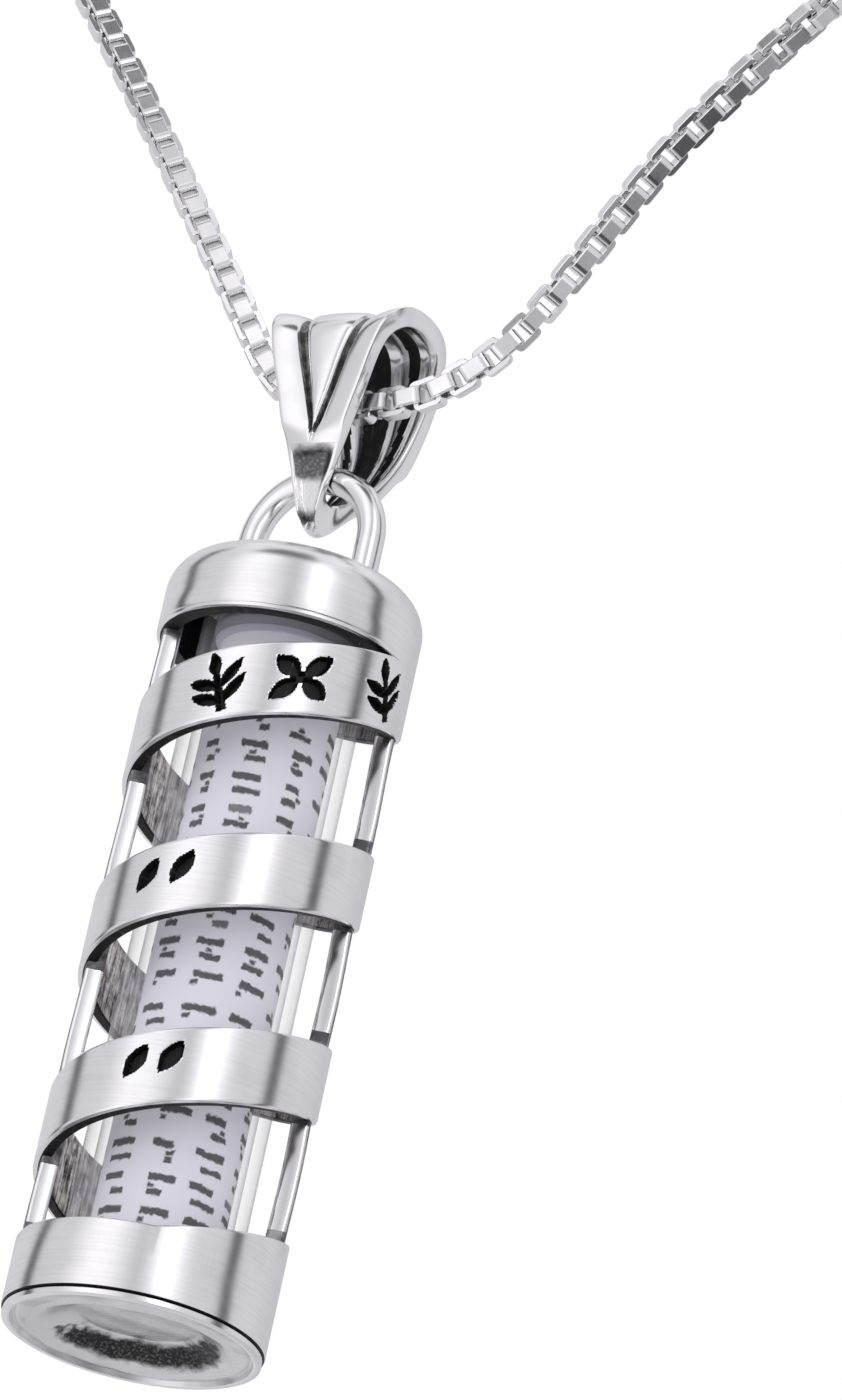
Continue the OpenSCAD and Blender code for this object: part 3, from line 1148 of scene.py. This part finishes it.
@dataclass
class CaseEnds:
    """Cap, hanging loop, stay bars and pressed dish of the case.

    Attributes:
        finishes: The finishes.
        top: Height of the case's top plane.
        sleeve: The sleeve that they sit in.
        height: Height of the case with the dish.
        bar_bearings: Bearings of the stay bars.
        bar_out: Distance of a bar's outer face from the axis.
        bar_in: Distance of its inner face.
        bar_w: Width of a bar.
        loop_r: Radius of the middle of the loop's arch.
        loop_wire_r: Radius of the loop's wire.
        loop_leg: Height of the arch's middle.
        well_l: Length of the dish's well.
        well_w: Width of the well.
        well_off: Distance of the well from the axis.
    """

    finishes: Finishes
    top: float
    sleeve: SpiralSleeve
    height: float = 31.2
    bar_bearings: tuple[tuple[str, float], ...] = (("left", -143.0), ("right", 29.0))
    bar_out: float = 4.8
    bar_in: float = 4.08
    bar_w: float = 0.95
    loop_r: float = 2.65
    loop_wire_r: float = 0.55
    loop_leg: float = 1.75
    well_l: float = 6.0
    well_w: float = 5.4
    well_off: float = 0.55

    def build(self) -> None:
        """Makes the pieces."""
        self._cap()
        self._loop()
        for side, bearing in self.bar_bearings:
            self._bar(side, bearing)
        self._dish()

    def _cap(self) -> None:
        """Makes the disc that closes the top."""
        shell = Shell("top_cap_disc", self.top)
        r = self.sleeve.case_r - self.sleeve.shoulder_r - 0.09
        outer = [(0.001, 0.0), (r * 0.5, -0.002), (r - 0.12, -0.006), (r, -0.05)]
        under = [(r, -0.55), (r - 0.4, -0.95), (0.001, -1.0)]
        shell.turned(outer + under)
        shell.build([self.finishes.brushed], Body.CASE, Slot.SLEEVE, ["top_cap"])

    def _loop(self) -> None:
        """Makes the round wire loop with its soldered feet."""
        shell = Shell("hanging_loop_wire", self.top)
        path = [(-self.loop_r, z) for z in (-0.05, 0.25, 0.6, 1.0, 1.4)]
        path += arc((0, self.loop_leg), self.loop_r, 180, 0, 56)
        path += [(self.loop_r, z) for z in (1.4, 1.0, 0.6, 0.25, -0.05)]
        rows = []
        for i, (x, z) in enumerate(path):
            a, b = path[max(i - 1, 0)], path[min(i + 1, len(path) - 1)]
            way = Vector((b[0] - a[0], 0, b[1] - a[1])).normalized()
            side = Vector((way.z, 0, -way.x))
            flare = 1 + 0.28 * max(0.0, 1 - max(z, 0) / 0.4) ** 2
            rows.append([
                Vector((x, 0, z))
                + (side * math.cos(t) + Vector((0, 1, 0)) * math.sin(t))
                * self.loop_wire_r * flare
                for t in (math.tau * k / 32 for k in range(32))
            ])
        shell.rod(rows)
        shell.build([self.finishes.polished], Body.CASE, Slot.WIRE, ["hanging_loop"])

    def _bar(self, side: str, bearing: float) -> None:
        """Makes one stay bar with rounded long edges.

        Args:
            side: The side that its name says.
            bearing: Bearing of its middle, in degrees.
        """
        shell = Shell(f"stay_bar_{side}_strip", self.top)
        half, cut = self.bar_w / 2, 0.16
        outline = rounded([
            (self.bar_in, -half, cut), (self.bar_out, -half, cut),
            (self.bar_out, half, cut), (self.bar_in, half, cut),
        ])
        a = math.radians(bearing)
        rows, joints = [], []
        steps = 180
        low, high = -self.height + 1.75, -1.05
        for i in range(steps + 1):
            z = low + (high - low) * i / steps
            clear = self._clear_of_band(z, bearing)
            waist = 1 - 0.24 * smooth(clear / 1.3)
            joints.append(clear < 0.32 + 0.12 * math.sin(z * 7 + bearing))
            sway = 0.03 * math.sin(z * 0.9 + bearing)
            rows.append([
                ((p + sway) * math.cos(a) - q * waist * math.sin(a),
                 (p + sway) * math.sin(a) + q * waist * math.cos(a), z)
                for p, q in outline
            ])
        middle, reach = (self.bar_in + self.bar_out) / 2, (self.bar_out - self.bar_in) / 2
        ends = [
            abs(p + outline[(j + 1) % len(outline)][0] - 2 * middle) > 1.9 * reach
            for j, (p, _) in enumerate(outline)
        ]
        # The inner and outer faces are painted smoky as shade, which draws dark lines along the bar; it
        # is smoky also where it runs under the band.
        shell.rod(rows, lambda i, j: 1 if joints[i] or ends[j] else 0)
        shell.build(
            [self.finishes.polished, self.finishes.smoky],
            Body.CASE, Slot.BAR, [f"stay_bar_{side}"],
        )

    def _clear_of_band(self, z: float, bearing: float) -> float:
        """How far a spot on a bar is from where the sleeve covers the bar.

        Args:
            z: Height of the spot.
            bearing: Bearing of the bar, in degrees.

        Returns:
            The distance along the bar, 0 under the sleeve.
        """
        tube = self.sleeve
        floor = self.height - tube.bottom_collar_h - 0.3
        if z > -tube.top_collar_h or z < -floor:
            return 0.0
        first = (tube.slot_start - bearing) % 360 * tube.pitch / 360
        place = (-tube.top_collar_h - z - first) % tube.pitch
        clear = min(place - tube.band_h, tube.pitch - place)
        return max(min(clear, -tube.top_collar_h - z, z + floor), 0.0)

    def _dish(self) -> None:
        """Makes the pressed dish with its lip, sloped ring and oval well."""
        shell = Shell("bottom_dish_plate", self.top)
        low = -self.height
        turn = math.radians(self.bar_bearings[1][1])
        lip = self.sleeve.case_r - 0.08
        radii = [0.02 + 0.06 * k for k in range(73)]
        radii = [r for r in radii if r < lip - 0.62]
        radii += [lip - 0.55, lip - 0.5, lip - 0.44, lip - 0.38, lip - 0.3, lip - 0.16, lip - 0.05, lip]
        rows, paints = [], []
        for i in range(144):
            a = math.tau * i / 144
            row, paint = [], []
            for r in radii:
                x, y = r * math.cos(a), r * math.sin(a)
                z, dark = self._dish_height(x, y, r, lip, turn)
                row.append((x, y, low + z))
                paint.append(dark)
            row += [(lip * math.cos(a), lip * math.sin(a), low + 0.24)]
            row += [((lip - 0.1) * math.cos(a), (lip - 0.1) * math.sin(a), low + 0.3)]
            inner = self.sleeve.case_r - self.sleeve.wall - 0.02
            row += [(inner * math.cos(a), inner * math.sin(a), low + 0.3)]
            row += [(inner * math.cos(a), inner * math.sin(a), low + 1.7)]
            row += [(0.02 * math.cos(a), 0.02 * math.sin(a), low + 1.7)]
            rows.append(row)
            paints.append(paint + [0] * 5)
        shell.grid(rows, close_rows=True, close_row=True, paint=lambda i, j: paints[i][j])
        shell.build(
            [self.finishes.cast, self.finishes.polished, self.finishes.well],
            Body.CASE, Slot.CAST, ["bottom_dish"],
        )

    def _dish_height(
        self, x: float, y: float, r: float, lip: float, turn: float
    ) -> tuple[float, int]:
        """Height of the dish's face over the lip's edge.

        Args:
            x: Place across the dish.
            y: Place along the dish.
            r: Distance of the spot from the axis.
            lip: Outer radius of the lip.
            turn: Bearing of the well's length, in radians.

        Returns:
            The height and the material number.
        """
        if r > lip - 0.36:
            edge = (r - (lip - 0.18)) / 0.18
            return 0.05 * edge * edge, 1
        slope = 0.16 + 0.14 * smooth((lip - 0.36 - r) / 1.0)
        groove = 0.07 * math.exp(-((r - (lip - 0.42)) / 0.07) ** 2)
        u = x * math.cos(turn) + y * math.sin(turn)
        v = -x * math.sin(turn) + y * math.cos(turn) - self.well_off
        half = (self.well_l - self.well_w) / 2
        gap = math.hypot(max(abs(u) - half, 0.0), v) - self.well_w / 2
        share = min(max((0.65 - gap) / 1.3, 0.0), 1.0)
        well = 0.76 * (0.35 * smooth(share) + 0.65 * share)
        wave = 0.02 * math.sin(3.1 * x + 1.3) * math.cos(2.7 * y)
        # In and round the well the face takes the well finish, which paints shade on the well's far
        # wall.
        return slope + groove + well + wave, 2 if gap < 1.0 else 0


@dataclass
class ScrollVial:
    """Glass vial with its stopper and rolled scroll.

    Attributes:
        finishes: The finishes.
        top: Height of the case's top plane.
        vial_r: Outer radius of the glass.
        glass: Thickness of the glass.
        high: Upper end of the vial.
        low: Lower end of the vial.
        stopper: Length of the stopper.
        scroll_r: Outer radius of the roll.
        bore_r: Radius of the roll's hollow.
        turns: Turns of the sheet.
        sheet_t: Thickness of the sheet.
    """

    finishes: Finishes
    top: float
    vial_r: float = 3.35
    glass: float = 0.5
    high: float = -1.1
    low: float = -29.38
    stopper: float = 2.0
    scroll_r: float = 2.65
    bore_r: float = 1.2
    turns: float = 6.5
    sheet_t: float = 0.09

    def build(self) -> None:
        """Makes the pieces."""
        self._vial()
        self._stopper()
        self._scroll()

    def _vial(self) -> None:
        """Makes the vial."""
        shell = Shell("glass_vial_tube", self.top)
        inner = self.vial_r - self.glass
        profile = [(0.001, self.low)]
        profile += arc((self.vial_r - 0.5, self.low + 0.5), 0.5, -90, 0, 6)
        profile += arc((self.vial_r - 0.15, self.high - 0.15), 0.15, 0, 90, 3)
        profile += arc((inner + 0.15, self.high - 0.15), 0.15, 90, 180, 3)
        profile += arc((inner - 0.3, self.low + 1.1), 0.3, 0, -90, 4)
        profile += [(0.001, self.low + 0.8)]
        shell.turned(profile)
        shell.build([self.finishes.glass], Body.CASE, Slot.GLASS, ["glass_vial"])

    def _stopper(self) -> None:
        """Makes the ribbed stopper."""
        shell = Shell("vial_stopper_plug", self.top)
        r = self.vial_r - self.glass - 0.02
        high, low = self.high, self.high - self.stopper
        profile = [(0.001, low), (r - 0.25, low), (r - 0.1, low + 0.1)]
        for k in range(3):
            z = low + 0.3 + 0.5 * k
            profile += [(r - 0.1, z), (r, z + 0.12), (r, z + 0.26), (r - 0.1, z + 0.38)]
        profile += [(r - 0.06, high - 0.1), (r - 0.16, high), (0.001, high)]
        shell.turned(profile)
        shell.build([self.finishes.plastic], Body.CASE, Slot.STOPPER, ["vial_stopper"])

    def _scroll(self) -> None:
        """Makes the sheet rolled up in several turns."""
        shell = Shell("scroll_roll", self.top)
        low, high = self.low + 0.9, self.high - self.stopper - 0.1
        steps = int(self.turns * 64)
        start = math.radians(150)
        rows = []
        for i in range(steps + 1):
            share = i / steps
            a = start - share * self.turns * math.tau
            outer = self.scroll_r - (self.scroll_r - self.bore_r - self.sheet_t) * share
            inner = outer - self.sheet_t
            c, s = math.cos(a), math.sin(a)
            rows.append([
                (outer * c, outer * s, low), (outer * c, outer * s, (low + high) / 2),
                (outer * c, outer * s, high), (inner * c, inner * s, high),
                (inner * c, inner * s, low),
            ])
        shell.rod(rows)
        shell.build([self.finishes.paper], Body.CASE, Slot.SCROLL, ["scroll"])


# ---------------------------------------------------------------------------
# The bail
# ---------------------------------------------------------------------------


@dataclass
class FoldedBail:
    """Ribbed strip folded over the chain and closed under the loop.

    Attributes:
        finishes: The finishes.
        wire: Height of the middle of the loop's wire in the part's frame.
        outside: Outer side outline, points of (y, z) from the loop's wire.
        inside: Inner side outline, matched to it point by point.
        tip_z: Height of the tip.
        top_z: Height of the crest.
        tip_w: Width at the tip.
        top_w: Width at the crest.
        meet_z: Height at which the two grooves meet.
        groove_x: Half the spacing of the grooves at the crest.
        steps: Pieces of the strip between two points of its outline.
    """

    finishes: Finishes
    wire: float
    outside: tuple[tuple[float, float], ...] = (
        (-0.35, -2.1), (-0.78, -1.6), (-1.02, -0.65), (-1.12, 0.15), (-1.5, 1.55), (-1.75, 3.15),
        (-2, 4.75), (-1.9, 5.85), (-1.1, 6.6), (0.1, 6.85), (1.4, 6.7), (2.3, 6.05),
        (2.95, 4.75), (3.2, 3.25), (3.15, 1.85), (2.55, 0.35), (1.3, -1.15), (0.4, -2.15),
    )
    inside: tuple[tuple[float, float], ...] = (
        (0.15, -0.92), (-0.35, -0.82), (-0.67, -0.3), (-0.77, 0.55), (-1.05, 1.65),
        (-1.3, 3.15),
        (-1.54, 4.75), (-1.45, 5.6), (-0.9, 6.15), (0.1, 6.4), (1.2, 6.25), (1.92, 5.7),
        (2.5, 4.6), (2.74, 3.25), (2.68, 2), (2.15, 0.65), (1.2, -0.45), (0.67, -0.82),
    )
    tip_z: float = -2.5
    top_z: float = 7.0
    tip_w: float = 0.4
    top_w: float = 5.85
    meet_z: float = 1.15
    groove_x: float = 1.25
    steps: int = 8

    def build(self) -> None:
        """Makes the bail."""
        shell = Shell("bail_strip", self.wire)
        outer = curve_through(self.outside, self.steps, True)
        inner = curve_through(self.inside, self.steps, True)
        rows, paints = [], []
        count = len(outer)
        for i in range(count):
            ring, paint = self._ring(outer, inner, i, count)
            rows.append(ring)
            paints.append(paint)
        shell.grid(rows, close_rows=True, close_row=True, paint=lambda i, j: paints[i][j])
        shell.build(
            [self.finishes.polished, self.finishes.spoon_painted_shade, self.finishes.black,
             self.finishes.smoky],
            Body.BAIL, Slot.BAIL, ["bail"],
        )

    def _ring(
        self, outer: list[Vector], inner: list[Vector], i: int, count: int
    ) -> tuple[list[tuple[float, float, float]], list[int]]:
        """Section across the strip at one station.

        Args:
            outer: Points of the strip's outer side, as (y, z).
            inner: Points of its inner side.
            i: Number of the station.
            count: Number of stations.

        Returns:
            The section's points and their material numbers.
        """
        here, under = outer[i], inner[i]
        thick = (here - under).length
        inward = (under - here) / thick
        front = i / count < 0.5
        half = self._half_width(here.y)
        ring, paint = [], []
        spots = self._columns(here.y, half)
        for x in spots:
            rise, dark = self._relief(x, here.y, half, front)
            p = here - inward * rise
            ring.append((x, p.x, p.y))
            paint.append(dark)
        edge = min(0.07, half * 0.2)
        lip = -self._relief(spots[-1], here.y, half, front)[0]
        sides = (
            (0.3, lip + 0.02), (0.0, lip + 0.08), (0.0, thick - 0.08), (0.3, thick - 0.02),
        )
        for side, depth in sides:
            p = here + inward * depth
            ring.append((half - side * edge, p.x, p.y))
            paint.append(0)
        for x in reversed(spots):
            rise, dark = self._lining(x / half, thick)
            p = under - inward * rise
            ring.append((x, p.x, p.y))
            paint.append(dark)
        for side, depth in reversed(sides):
            p = here + inward * depth
            ring.append((-half + side * edge, p.x, p.y))
            paint.append(0)
        return ring, paint

    def _columns(self, z: float, half: float) -> list[float]:
        """Places across the strip, gathered along the two grooves."""
        groove, width = self._groove(z)
        edge = half - min(0.07, half * 0.2)
        near, far = max(groove - width, 0.012), min(max(groove + width, 0.04), edge * 0.9)
        right = [near * k / 5 for k in range(1, 5)]
        right += [near + (far - near) * k / 8 for k in range(9)]
        right += [far + (edge - far) * k / 12 for k in range(1, 13)]
        return [-x for x in reversed(right)] + [0.0] + right

    def _groove(self, z: float) -> tuple[float, float]:
        """Middle of a groove from the strip's middle, and half its width."""
        spread = max((z - self.meet_z) / (5.8 - self.meet_z), 0.0)
        return self.groove_x * spread, 0.1 + 0.16 * min(spread, 1.1)

    @staticmethod
    def _lining(share: float, thick: float) -> tuple[float, int]:
        """Height and material number of the strip's inner side, painted black as shade away from its
        two ribs.
        """
        u = abs(share)
        rib = max(math.exp(-((u - 0.42) / 0.13) ** 2), math.exp(-((u - 0.86) / 0.12) ** 2))
        return 0.1 * rib * min(1.0, thick / 0.5) * -1, 0 if rib > 0.34 else 2

    def _half_width(self, z: float) -> float:
        """Half the strip's width at a height."""
        share = (z - self.tip_z) / (self.top_z - self.tip_z)
        flare = 0.1 * smooth((z - 5.4) / 1.3)
        return (self.tip_w + (self.top_w - self.tip_w) * min(max(share, 0.0), 1.0)) / 2 + flare

    def _relief(self, x: float, z: float, half: float, front: bool) -> tuple[float, int]:
        """Height of the strip's face over its plain outline, and its material number.

        Args:
            x: Place across the strip.
            z: Height from the loop's wire.
            half: Half the width there.
            front: Whether it is the front of the strip.

        Returns:
            The height in millimetres, and 3 in a groove of smoky oxide, 1 on the front's dish, which
            carries painted shade.
        """
        groove, width = self._groove(z)
        spread = (z - self.meet_z) / (5.8 - self.meet_z)
        u, share = abs(x), abs(x) / half
        open_ = smooth(spread / 0.16)
        off = abs(u - groove)
        cut = -0.3 * open_ * min(1.6 * max(1 - off / width, 0.0), 1.0)
        if u < groove:
            inner_share = min(u / max(groove - width, 0.05), 1.0)
            rib = 0.12 * math.sqrt(max(1 - inner_share ** 2, 0.0))
        else:
            part = min(max((u - groove - width) / max(half - groove - width, 0.05), 0.0), 1.0)
            rib = 0.23 * (1 - (1 - part) ** 2)
        ribbed = cut + rib * open_
        plain = (0.22 * (1 - share ** 2)) * (1 - open_)
        dark = 3 if off < width * 0.9 and open_ > 0.05 else 0
        if not front:
            return ribbed + plain * 0.5, dark
        bowl = smooth((1.0 - z) / 0.7)
        rim = 0.06 * smooth((share - 0.72) / 0.12) - 0.3 * (1 - smooth((share - 0.5) / 0.34))
        # The front's dish takes painted shade in bands.
        if bowl > 0.02 and share < 0.84:
            dark = 1
        return (ribbed + plain) * (1 - bowl) + rim * bowl, dark


# ---------------------------------------------------------------------------
# The chain and what is on its ends
# ---------------------------------------------------------------------------


@dataclass
class BoxChain:
    """Chain of square links, each turned a quarter from the last.

    Attributes:
        finishes: The finishes.
        route: Points along its middle, as (x, z).
        pitch: Spacing of the links.
        link_l: Length of a link.
        link_w: Width of a link.
        strip_w: Width of the strip that it is bent from.
        strip_t: Thickness of that strip.
        corner: Radius of a link's corners.
        twist: Turn of the chain about its own line, as (x, degrees).
    """

    finishes: Finishes
    route: tuple[tuple[float, float], ...] = CHAIN_ROUTE
    pitch: float = 0.735
    link_l: float = 1.2
    link_w: float = 1.2
    strip_w: float = 0.64
    strip_t: float = 0.23
    corner: float = 0.26
    twist: tuple[tuple[float, float], ...] = (
        (-19, 38), (-14, 33), (-11, 27), (-6, 22), (0, 0), (5, -22), (7, -36), (9, -54),
        (14.5, -64), (21, -88),
    )

    def build(self, on_it: Sequence[str]) -> bpy.types.Object:
        """Args:
            on_it: Names of the pieces on its ends; not used.

        Returns:
            The chain.
        """
        shell = Shell("box_chain_links")
        line = curve_through([(x, 0, z) for x, z in self.route], 8, False)
        lengths = [0.0]
        for a, b in zip(line, line[1:]):
            lengths.append(lengths[-1] + (b - a).length)
        total = lengths[-1]
        links = int((total - 0.3) / self.pitch)
        start = (total - (links - 1) * self.pitch) / 2
        for i in range(links):
            self._link(shell, line, lengths, start + i * self.pitch, i)
        made = shell.build([self.finishes.chain], Body.CHAIN, Slot.CHAIN, ["chain"], 28)
        LOG.info("box chain: %d links over %.1f mm", links, total)
        return made

    def _link(
        self, shell: Shell, line: list[Vector], lengths: list[float], at: float, number: int
    ) -> None:
        """Adds one link.

        Args:
            shell: The shell to add to.
            line: Points of the chain's middle line.
            lengths: Distance along the line to each point.
            at: Distance along the line to the link's middle.
            number: Number of the link, odd ones turned a quarter.
        """
        middle = self._along(line, lengths, at)
        way = (
            self._along(line, lengths, at + 0.3) - self._along(line, lengths, at - 0.3)
        ).normalized()
        level = Vector((0, 1, 0))
        lean = way.cross(level).normalized()
        turn = math.radians(self._twist_at(middle.x))
        face = level * -math.cos(turn) + lean * math.sin(turn)
        side = level * math.sin(turn) + lean * math.cos(turn)
        axis, across = (face, side) if number % 2 == 0 else (side, face)
        half_l, half_w = self.link_l / 2, self.link_w / 2
        outer = self._stiffened(rounded([
            (half_l, -half_w, self.corner), (half_l, half_w, self.corner),
            (-half_l, half_w, self.corner), (-half_l, -half_w, self.corner),
        ], 4))
        c, t = 0.028, self.strip_t
        section = [
            (0, -self.strip_w / 2 + c), (0, self.strip_w / 2 - c),
            (c, self.strip_w / 2), (t - c, self.strip_w / 2),
            (t, self.strip_w / 2 - c), (t, -self.strip_w / 2 + c),
            (t - c, -self.strip_w / 2), (c, -self.strip_w / 2),
        ]
        rows = []
        for p, q in outer:
            pull = Vector((p, q))
            core = Vector((
                max(min(p, half_l - self.corner), -half_l + self.corner),
                max(min(q, half_w - self.corner), -half_w + self.corner),
            ))
            inward = (core - pull).normalized()
            row = []
            for depth, off in section:
                spot = pull + inward * depth
                row.append(middle + way * spot.x + across * spot.y + axis * off)
            rows.append(row)
        shell.grid(rows, close_rows=True, close_row=True)

    @staticmethod
    def _stiffened(outline: list[tuple[float, float]]) -> list[tuple[float, float]]:
        """Outline with points added by the ends of its straight sides, which shade flat."""
        done = []
        for (p, q), (r, s) in zip(outline, outline[1:] + outline[:1]):
            done.append((p, q))
            if math.hypot(r - p, s - q) > 0.3:
                done += [(p + (r - p) * k, q + (s - q) * k) for k in (0.06, 0.94)]
        return done

    def _twist_at(self, x: float) -> float:
        """Turn of the chain at a place, in degrees."""
        stops = self.twist
        for (x0, a0), (x1, a1) in zip(stops, stops[1:]):
            if x <= x1:
                return a0 + (a1 - a0) * max(x - x0, 0.0) / (x1 - x0)
        return stops[-1][1]

    @staticmethod
    def _along(line: list[Vector], lengths: list[float], at: float) -> Vector:
        """Point of the line at a distance along it."""
        if at <= 0:
            return line[0] + (line[0] - line[1]).normalized() * -at
        for i in range(1, len(line)):
            if lengths[i] >= at:
                share = (at - lengths[i - 1]) / (lengths[i] - lengths[i - 1])
                return line[i - 1].lerp(line[i], share)
        return line[-1] + (line[-1] - line[-2]).normalized() * (at - lengths[-1])


@dataclass
class ChainEnds:
    """End caps, rings and clasp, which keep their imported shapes.

    Attributes:
        finishes: The finishes.
        silver_nodes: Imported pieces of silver.
        steel_nodes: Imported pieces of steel.
    """

    finishes: Finishes
    silver_nodes: tuple[str, ...] = (
        "left_end_cap", "right_end_cap", "left_jump_ring", "right_jump_ring", "tag_ring",
        "clasp_body", "clasp_lever",
    )
    steel_nodes: tuple[str, ...] = ("clasp_pin", "clasp_spring")

    def build(self) -> list[str]:
        """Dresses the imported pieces.

        Returns:
            The names of the pieces on the chain's ends.
        """
        for names, material in (
            (self.silver_nodes, self.finishes.polished),
            (self.steel_nodes, self.finishes.steel),
        ):
            for name in names:
                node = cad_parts[name]
                node.data.materials.clear()
                node.data.materials.append(material)
                LOG.info("%s keeps its packed shape", name)
        return [*self.silver_nodes, *self.steel_nodes]


# ---------------------------------------------------------------------------
# Studio
# ---------------------------------------------------------------------------


@dataclass
class Studio:
    """Camera, light and floor.

    Attributes:
        top: Height of the case's top plane in the part's frame, in millimetres.
        bearing: Bearing of the camera, to the right of the front.
        rise: Elevation of the camera.
        roll: Turn of the camera about its own line of sight.
        distance: Distance from the aim, in millimetres.
        lens: Focal length on a 36 mm sensor.
        aim: Point aimed at, from the middle of the case's top plane.
        floor_z: Height of the floor, in metres.
        floor_half: Half the floor's side, in metres.
    """

    top: float
    bearing: float = CAMERA_BEARING
    rise: float = -22.27
    roll: float = -12.31
    distance: float = 328.98
    lens: float = 8715.6 * 36 / 1400
    aim: tuple[float, float, float] = (6.468, 0.0, -5.092)
    floor_z: float = -0.18
    floor_half: float = 0.9

    def build(self) -> None:
        """Makes the camera, the light and the floor."""
        self._camera()
        self._light()
        self._floor()

    def _axes(self) -> tuple[Vector, Vector, Vector]:
        """Directions of the camera.

        Returns:
            Its right, its up and its back.
        """
        a, e, r = (math.radians(v) for v in (self.bearing, self.rise, self.roll))
        back = Vector((math.sin(a) * math.cos(e), -math.cos(a) * math.cos(e), math.sin(e)))
        right = Vector((math.cos(a), math.sin(a), 0))
        up = back.cross(right)
        return (
            right * math.cos(r) - up * math.sin(r),
            right * math.sin(r) + up * math.cos(r),
            back,
        )

    def _camera(self) -> None:
        """Makes the camera."""
        right, up, back = self._axes()
        data = bpy.data.cameras.new("camera")
        data.lens = self.lens
        data.sensor_width = 36
        data.clip_start = 0.01
        data.clip_end = 20
        made = bpy.data.objects.new("camera", data)
        bpy.context.scene.collection.objects.link(made)
        target = Vector((self.aim[0], self.aim[1], self.aim[2] + self.top)) * MM
        spot = target + back * self.distance * MM
        turn = Matrix((right, up, back)).transposed().to_4x4()
        made.matrix_world = Matrix.Translation(spot) @ turn
        bpy.context.scene.camera = made
        bpy.context.scene.view_settings.view_transform = "Standard"

    def _light(self) -> None:
        """Makes the white room with its soft panels and dark gaps."""
        world = bpy.data.worlds.new("studio")
        bpy.context.scene.world = world
        world.use_nodes = True
        graph = Graph(world.node_tree)
        way = graph.value("ShaderNodeTexCoord", output="Generated")
        a = math.radians(self.bearing)
        forward = graph.dot(way, (math.sin(a), -math.cos(a), 0))
        side = graph.dot(way, (math.cos(a), math.sin(a), 0))
        height = graph.dot(way, (0, 0, 1))
        round_it = side.math("ARCTAN2", forward) * (180 / math.pi)
        # Two wide soft panels, a narrow bright strip and the dim far side.
        level = 0.67 + round_it.window(-62, -24, 16) * 0.42 + round_it.window(6, 30, 11) * 0.5
        strip = round_it.window(13, 19, 2) * height.window(0.0, 0.68, 0.1)
        level = level + strip * 1.6 - round_it.window(130, 190, 25) * 0.1
        level = level - round_it.window(-12, -3, 5) * 0.16
        # Two thin dark gaps between the panels.
        lines = round_it.window(69.5, 81.5, 2) + round_it.window(-117.5, -105.5, 2)
        level = level - lines * 0.63
        # An even light overhead, with a dark card low down and one high up.
        above = height.ramp(0.7, 0.95)
        level = level * (1 - above) + above * 0.85
        card = round_it.window(-6, 62, 8) * height.window(-0.94, -0.38, 0.07)
        ceiling = round_it.window(-66, 14, 8) * height.window(0.82, 0.98, 0.03)
        level = level * (1 - card * 0.92) * (1 - ceiling * 0.84)
        light = graph.value("ShaderNodeLightPath", output="Is Camera Ray")
        strength = level * (1 - light) + light
        shader = graph.node(
            "ShaderNodeBackground", None,
            {"Color": graph.mix(light, (1.005, 0.99, 1.035, 1), grey(1.0)), "Strength": strength},
        )
        graph.node("ShaderNodeOutputWorld", None, {"Surface": shader.outputs[0]})

    def _floor(self) -> None:
        """Makes the floor."""
        half = self.floor_half
        mesh = bpy.data.meshes.new("floor")
        corners = [(-half, -half), (half, -half), (half, half), (-half, half)]
        mesh.from_pydata([(x, y, self.floor_z) for x, y in corners], [], [(0, 1, 2, 3)])
        mesh.materials.append(StudioFloor().build())
        made = bpy.data.objects.new("floor", mesh)
        made.visible_glossy = False
        bpy.context.scene.collection.objects.link(made)


def main() -> None:
    """Builds the studio and every piece, and notes the sizes."""
    logging.basicConfig(level=logging.INFO, format="%(message)s")
    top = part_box("top_cap")[1].z / MM
    loop_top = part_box("hanging_loop")[1].z / MM
    finishes = Finishes()
    Studio(top).build()
    ends = ChainEnds(finishes).build()
    BoxChain(finishes).build(ends)
    FoldedBail(finishes, wire=loop_top - CaseEnds.loop_wire_r).build()
    sleeve = SpiralSleeve(finishes, top)
    sleeve.build()
    CaseEnds(finishes, top, sleeve).build()
    ScrollVial(finishes, top).build()


if __name__ == "__main__":
    main()
